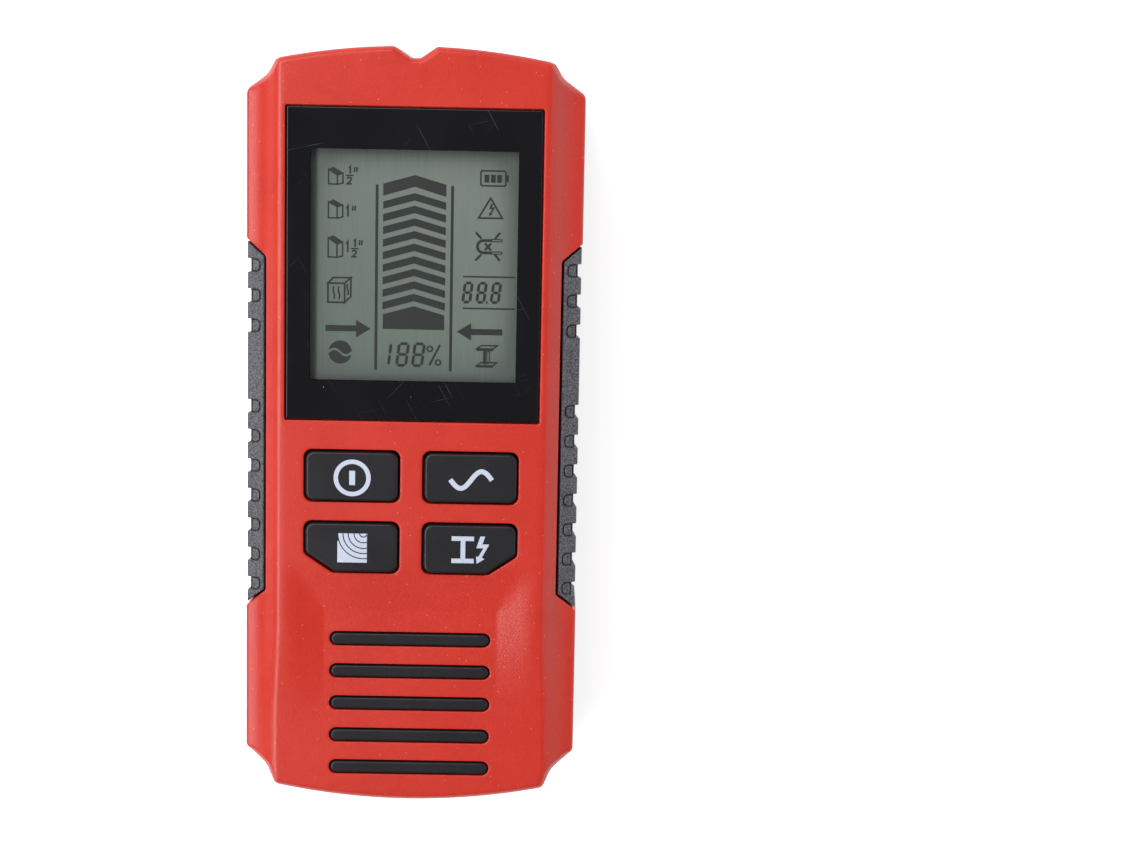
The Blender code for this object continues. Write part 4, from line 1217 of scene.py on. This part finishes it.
def window_finish():
    """Glossy window: clear over the display, black round it, with a few scratches and dust."""
    finish = Finish("window_gloss", IOR=1.45, Specular_IOR_Level=0.4)
    x, y = finish.axis("X"), finish.axis("Y") - DISPLAY[1]
    off_x = x.math("ABSOLUTE") - DISPLAY[2] / 2
    off_y = y.math("ABSOLUTE") - DISPLAY[3] / 2
    border = finish.ramp(off_x.math("MAXIMUM", off_y), -0.03, 0.05)
    scratches = None
    for turned, size in ((-0.75, 0.14), (0.5, 0.17), (-1.35, 0.15)):
        line = finish.noise(size, 0.0, 0.5, (1.0, 110.0, 1.0), turned)
        line = finish.ramp(line, 0.78, 0.85)
        scratches = line if scratches is None else scratches.math("MAXIMUM", line)
    patches = finish.ramp(finish.noise(9.0, 2.0), 0.52, 0.66)
    near, number = finish.cells(4.2)
    speck = (near < 0.02) * (number > 0.8)
    marks = (scratches * patches * 0.07).math("MAXIMUM", speck * 0.5)
    cloud = finish.noise(18.0, 2.0)
    black = finish.blend(finish.ramp(cloud, 0.3, 0.7), tone(5, 4, 8), tone(11, 10, 15))
    colour = finish.blend(marks, black, tone(200, 205, 215))
    clear = 0.05 + marks * 0.6
    finish.set(Alpha=(border + clear).math("MINIMUM", 1.0))
    rough = 0.1 + cloud * 0.06 + marks * 0.3
    return finish.made(colour, rough, finish.noise(0.5, 1.0), 0.0006)


def display_finish():
    """The display's grey-green glass, with painted shade cast by the window's border: darker
    towards its edges, lighter to the upper right.
    """
    finish = Finish("lcd_glass", Specular_IOR_Level=0.2)
    x = finish.axis("X") / (DISPLAY[2] / 2)
    y = (finish.axis("Y") - DISPLAY[1]) / (DISPLAY[3] / 2)
    # painted shade: the colour darkens towards the edges, standing in for the window border's
    # shadow
    edge = (x * x).math("POWER", 3.0) + (y * y).math("POWER", 2.6)
    share = finish.ramp(edge, 0.0, 1.1)
    # painted light: the glass is lighter to the upper right and more shaded to the lower left
    painted_light_lift = finish.ramp(x * 0.5 + y * 0.6, -1.0, 1.1)
    middle = finish.blend(painted_light_lift, tone(90, 101, 94), tone(109, 117, 109))
    colour = finish.blend(share, middle, tone(80, 86, 82))
    brushed = finish.noise(0.4, 2.0, 0.5, (1.0, 30.0, 1.0))
    colour = finish.blend(finish.ramp(brushed, 0.2, 0.8) * 0.03, colour, tone(185, 195, 185))
    return finish.made(colour, 0.5 + brushed * 0.1, brushed, 0.002)


def board_finish():
    """Circuit board: green lacquer with lighter tracks under it."""
    finish = Finish("board_green", Coat_Weight=0.4)
    near, number = finish.cells(3.4)
    tracks = finish.ramp(finish.noise(0.5, 0.0, 0.5, (1.0, 5.0, 1.0)), 0.5, 0.54)
    pads = (near < 0.14) * (number > 0.5)
    colour = finish.blend(tracks, tone(16, 74, 42), tone(30, 104, 60))
    colour = finish.blend(pads, colour, tone(206, 190, 140))
    return finish.made(colour, 0.35 + number * 0.1, tracks, 0.03)


def winding_finish():
    """Copper winding: fine lacquered wire, one turn above the other, with painted shade in the
    grooves between the wires and painted highlight along each turn's top.
    """
    finish = Finish("coil_copper", Metallic=1.0)
    turn_relief_and_shade = (finish.axis("Z") * 9.0).math("SINE") * 0.5 + 0.5
    broad = finish.noise(3.0)
    # painted shade and highlight: the copper is darker between the wires and lighter along their
    # tops
    colour = finish.blend(turn_relief_and_shade, tone(120, 52, 22), tone(214, 122, 66))
    return finish.made(colour, 0.28 + broad * 0.15, turn_relief_and_shade, 0.08)


def battery_finish():
    """Battery jacket: dark sleeve with a copper-coloured band at its terminal end."""
    finish = Finish("battery_cell", Metallic=0.4)
    band = finish.ramp(finish.axis("Y"), -36.0, -35.8)
    fine = finish.noise(0.8, 3.0)
    colour = finish.blend(band, tone(34, 36, 40), tone(176, 110, 60))
    return finish.made(colour, 0.3 + fine * 0.15, fine, 0.01)


def make_finishes():
    """Every material, by name."""
    black = ((19, 18, 21), (28, 26, 31))
    satin = {"grain": 0.24, "depth": 0.015, "dust": 0.2, "Specular_IOR_Level": 0.3}
    made = [
        # the red case and the grip rubber carry painted glints of light
        moulded(
            "case_red", (168, 31, 15), (181, 39, 22), 0.35, grain=0.3, depth=0.045, dust=0.3,
            painted_glints=0.35, Specular_IOR_Level=0.45,
        ),
        moulded("case_charcoal", (34, 33, 37), (46, 45, 50), 0.5, grain=0.25, depth=0.016),
        moulded(
            "grip_rubber", (24, 23, 28), (100, 99, 106), 0.55, grain=0.3, depth=0.12, dust=0.1,
            painted_glints=0.15, clouds=0.12, Specular_IOR_Level=0.4,
        ),
        moulded("rib_rubber", *black, 0.34, **satin),
        moulded("key_cap", *black, 0.36, **satin),
        window_finish(),
        display_finish(),
        moulded("foam_black", (24, 24, 25), (44, 44, 46), 0.95, grain=0.5, depth=0.15),
        moulded("nylon_white", (214, 212, 204), (228, 226, 218), 0.5),
        moulded("connector_rubber", (40, 42, 48), (90, 92, 100), 0.7, grain=0.4),
        moulded("component_black", (26, 26, 28), (36, 36, 39), 0.5),
        moulded("ferrite", (48, 46, 46), (66, 63, 62), 0.6, grain=0.5, depth=0.04),
        moulded("lead_red", (170, 26, 22), (190, 34, 28), 0.45),
        moulded("print_white", (163, 170, 186), (176, 183, 199), 0.5, grain=0.3, depth=0.004),
        moulded("display_ink", (15, 21, 17), (22, 28, 24), 0.6, grain=0.3, depth=0.002),
        plain_metal("switch_metal", (150, 150, 152), (190, 190, 192), 0.35),
        plain_metal("component_metal", (160, 160, 164), (205, 206, 208), 0.3),
        plain_metal("screw_steel", (120, 120, 124), (170, 170, 174), 0.35),
        board_finish(),
        winding_finish(),
        battery_finish(),
    ]
    return {label_of(finish): finish for finish in made}


def label_of(finish):
    """A material's name without the number that is added to a second one of that name."""
    return finish.name.split(".")[0]


# -------- stage


def make_stage():
    """A plain pale floor, wide enough to fill every view."""
    mesh = bpy.data.meshes.new("floor")
    corners = [
        (x * FLOOR_REACH, y * FLOOR_REACH, FLOOR_Z)
        for x, y in ((-1, -1), (1, -1), (1, 1), (-1, 1))
    ]
    mesh.from_pydata(corners, [], [(0, 1, 2, 3)])
    floor = added("floor", mesh)
    finish = Finish("floor_paper", Roughness=0.9, Specular_IOR_Level=0.1, Emission_Strength=0.6)
    finish.shader.inputs["Emission Color"].default_value = (1.0, 1.0, 1.0, 1.0)
    broad = finish.noise(60.0, 2.0)
    finish.set(Base_Color=finish.blend(broad, (0.86, 0.86, 0.86, 1), (0.9, 0.9, 0.9, 1)))
    mesh.materials.append(finish.material)


def make_lights():
    """Soft studio light: a key from the upper left, a fill on the right, a strip on the left."""
    for name, place, size, watts in LAMPS:
        lamp = bpy.data.lights.new(name, "AREA")
        lamp.shape = "RECTANGLE"
        lamp.size, lamp.size_y = size
        lamp.energy = watts
        thing = added(name, lamp)
        thing.location = place
        facing = (Vector(place) - Vector(LIT_POINT)).to_track_quat("Z", "Y")
        thing.rotation_euler = facing.to_euler()
    world = bpy.data.worlds.new("studio")
    world.use_nodes = True
    background = world.node_tree.nodes["Background"]
    background.inputs["Color"].default_value = (0.95, 0.97, 1.0, 1.0)
    background.inputs["Strength"].default_value = WORLD_STRENGTH
    bpy.context.scene.world = world
    bpy.context.scene.view_settings.view_transform = "Standard"


def turned(first, second, angle):
    """Two directions at right angles, turned in their plane from the first to the second."""
    cosine, sine = math.cos(angle), math.sin(angle)
    return first * cosine + second * sine, second * cosine - first * sine


def make_camera():
    """Camera above the display, a little to the right, turned to put the scanner on the left."""
    tilt, roll, yaw, swing = (math.radians(angle) for angle in CAMERA_ANGLES)
    level = math.cos(tilt)
    back = Vector((math.sin(swing) * level, math.sin(tilt), math.cos(swing) * level))
    right = Vector((math.cos(swing), 0, -math.sin(swing)))
    up = back.cross(right)
    place = Vector(CAMERA_AIM) + back * CAMERA_DISTANCE
    right, up = turned(right, up, roll)
    right, back = turned(right, back, yaw)
    lens = bpy.data.cameras.new("camera")
    lens.lens = CAMERA_LENS
    lens.sensor_width = 36.0
    lens.clip_start = 0.01
    camera = added("camera", lens)
    camera.matrix_world = Matrix((
        (right.x, up.x, back.x, place.x), (right.y, up.y, back.y, place.y),
        (right.z, up.z, back.z, place.z), (0, 0, 0, 1),
    ))
    bpy.context.scene.camera = camera


# -------- the scanner

FINISHES = make_finishes()
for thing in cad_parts.values():
    for place in thing.material_slots:
        place.material = FINISHES[label_of(place.material)]

make_front_case(FINISHES["case_red"])
make_rear_case(FINISHES["case_charcoal"])
make_door(FINISHES["case_charcoal"])
make_grip(-1, "left", FINISHES["grip_rubber"])
make_grip(1, "right", FINISHES["grip_rubber"])
marks = key_shapes()
for label, at, side, slanted in key_list():
    name, body = f"{label}_symbol", f"{label}_key"
    make_key(label, at, side, slanted, FINISHES["key_cap"])
    make_marks(name, marks[label], KEY_TOP_Z, FINISHES["print_white"], body)
make_ribs(FINISHES["rib_rubber"])
make_window(FINISHES["window_gloss"])
make_marks("display_marks", display_shapes(), DISPLAY_INK_Z, FINISHES["display_ink"], "case")
make_stage()
make_lights()
make_camera()
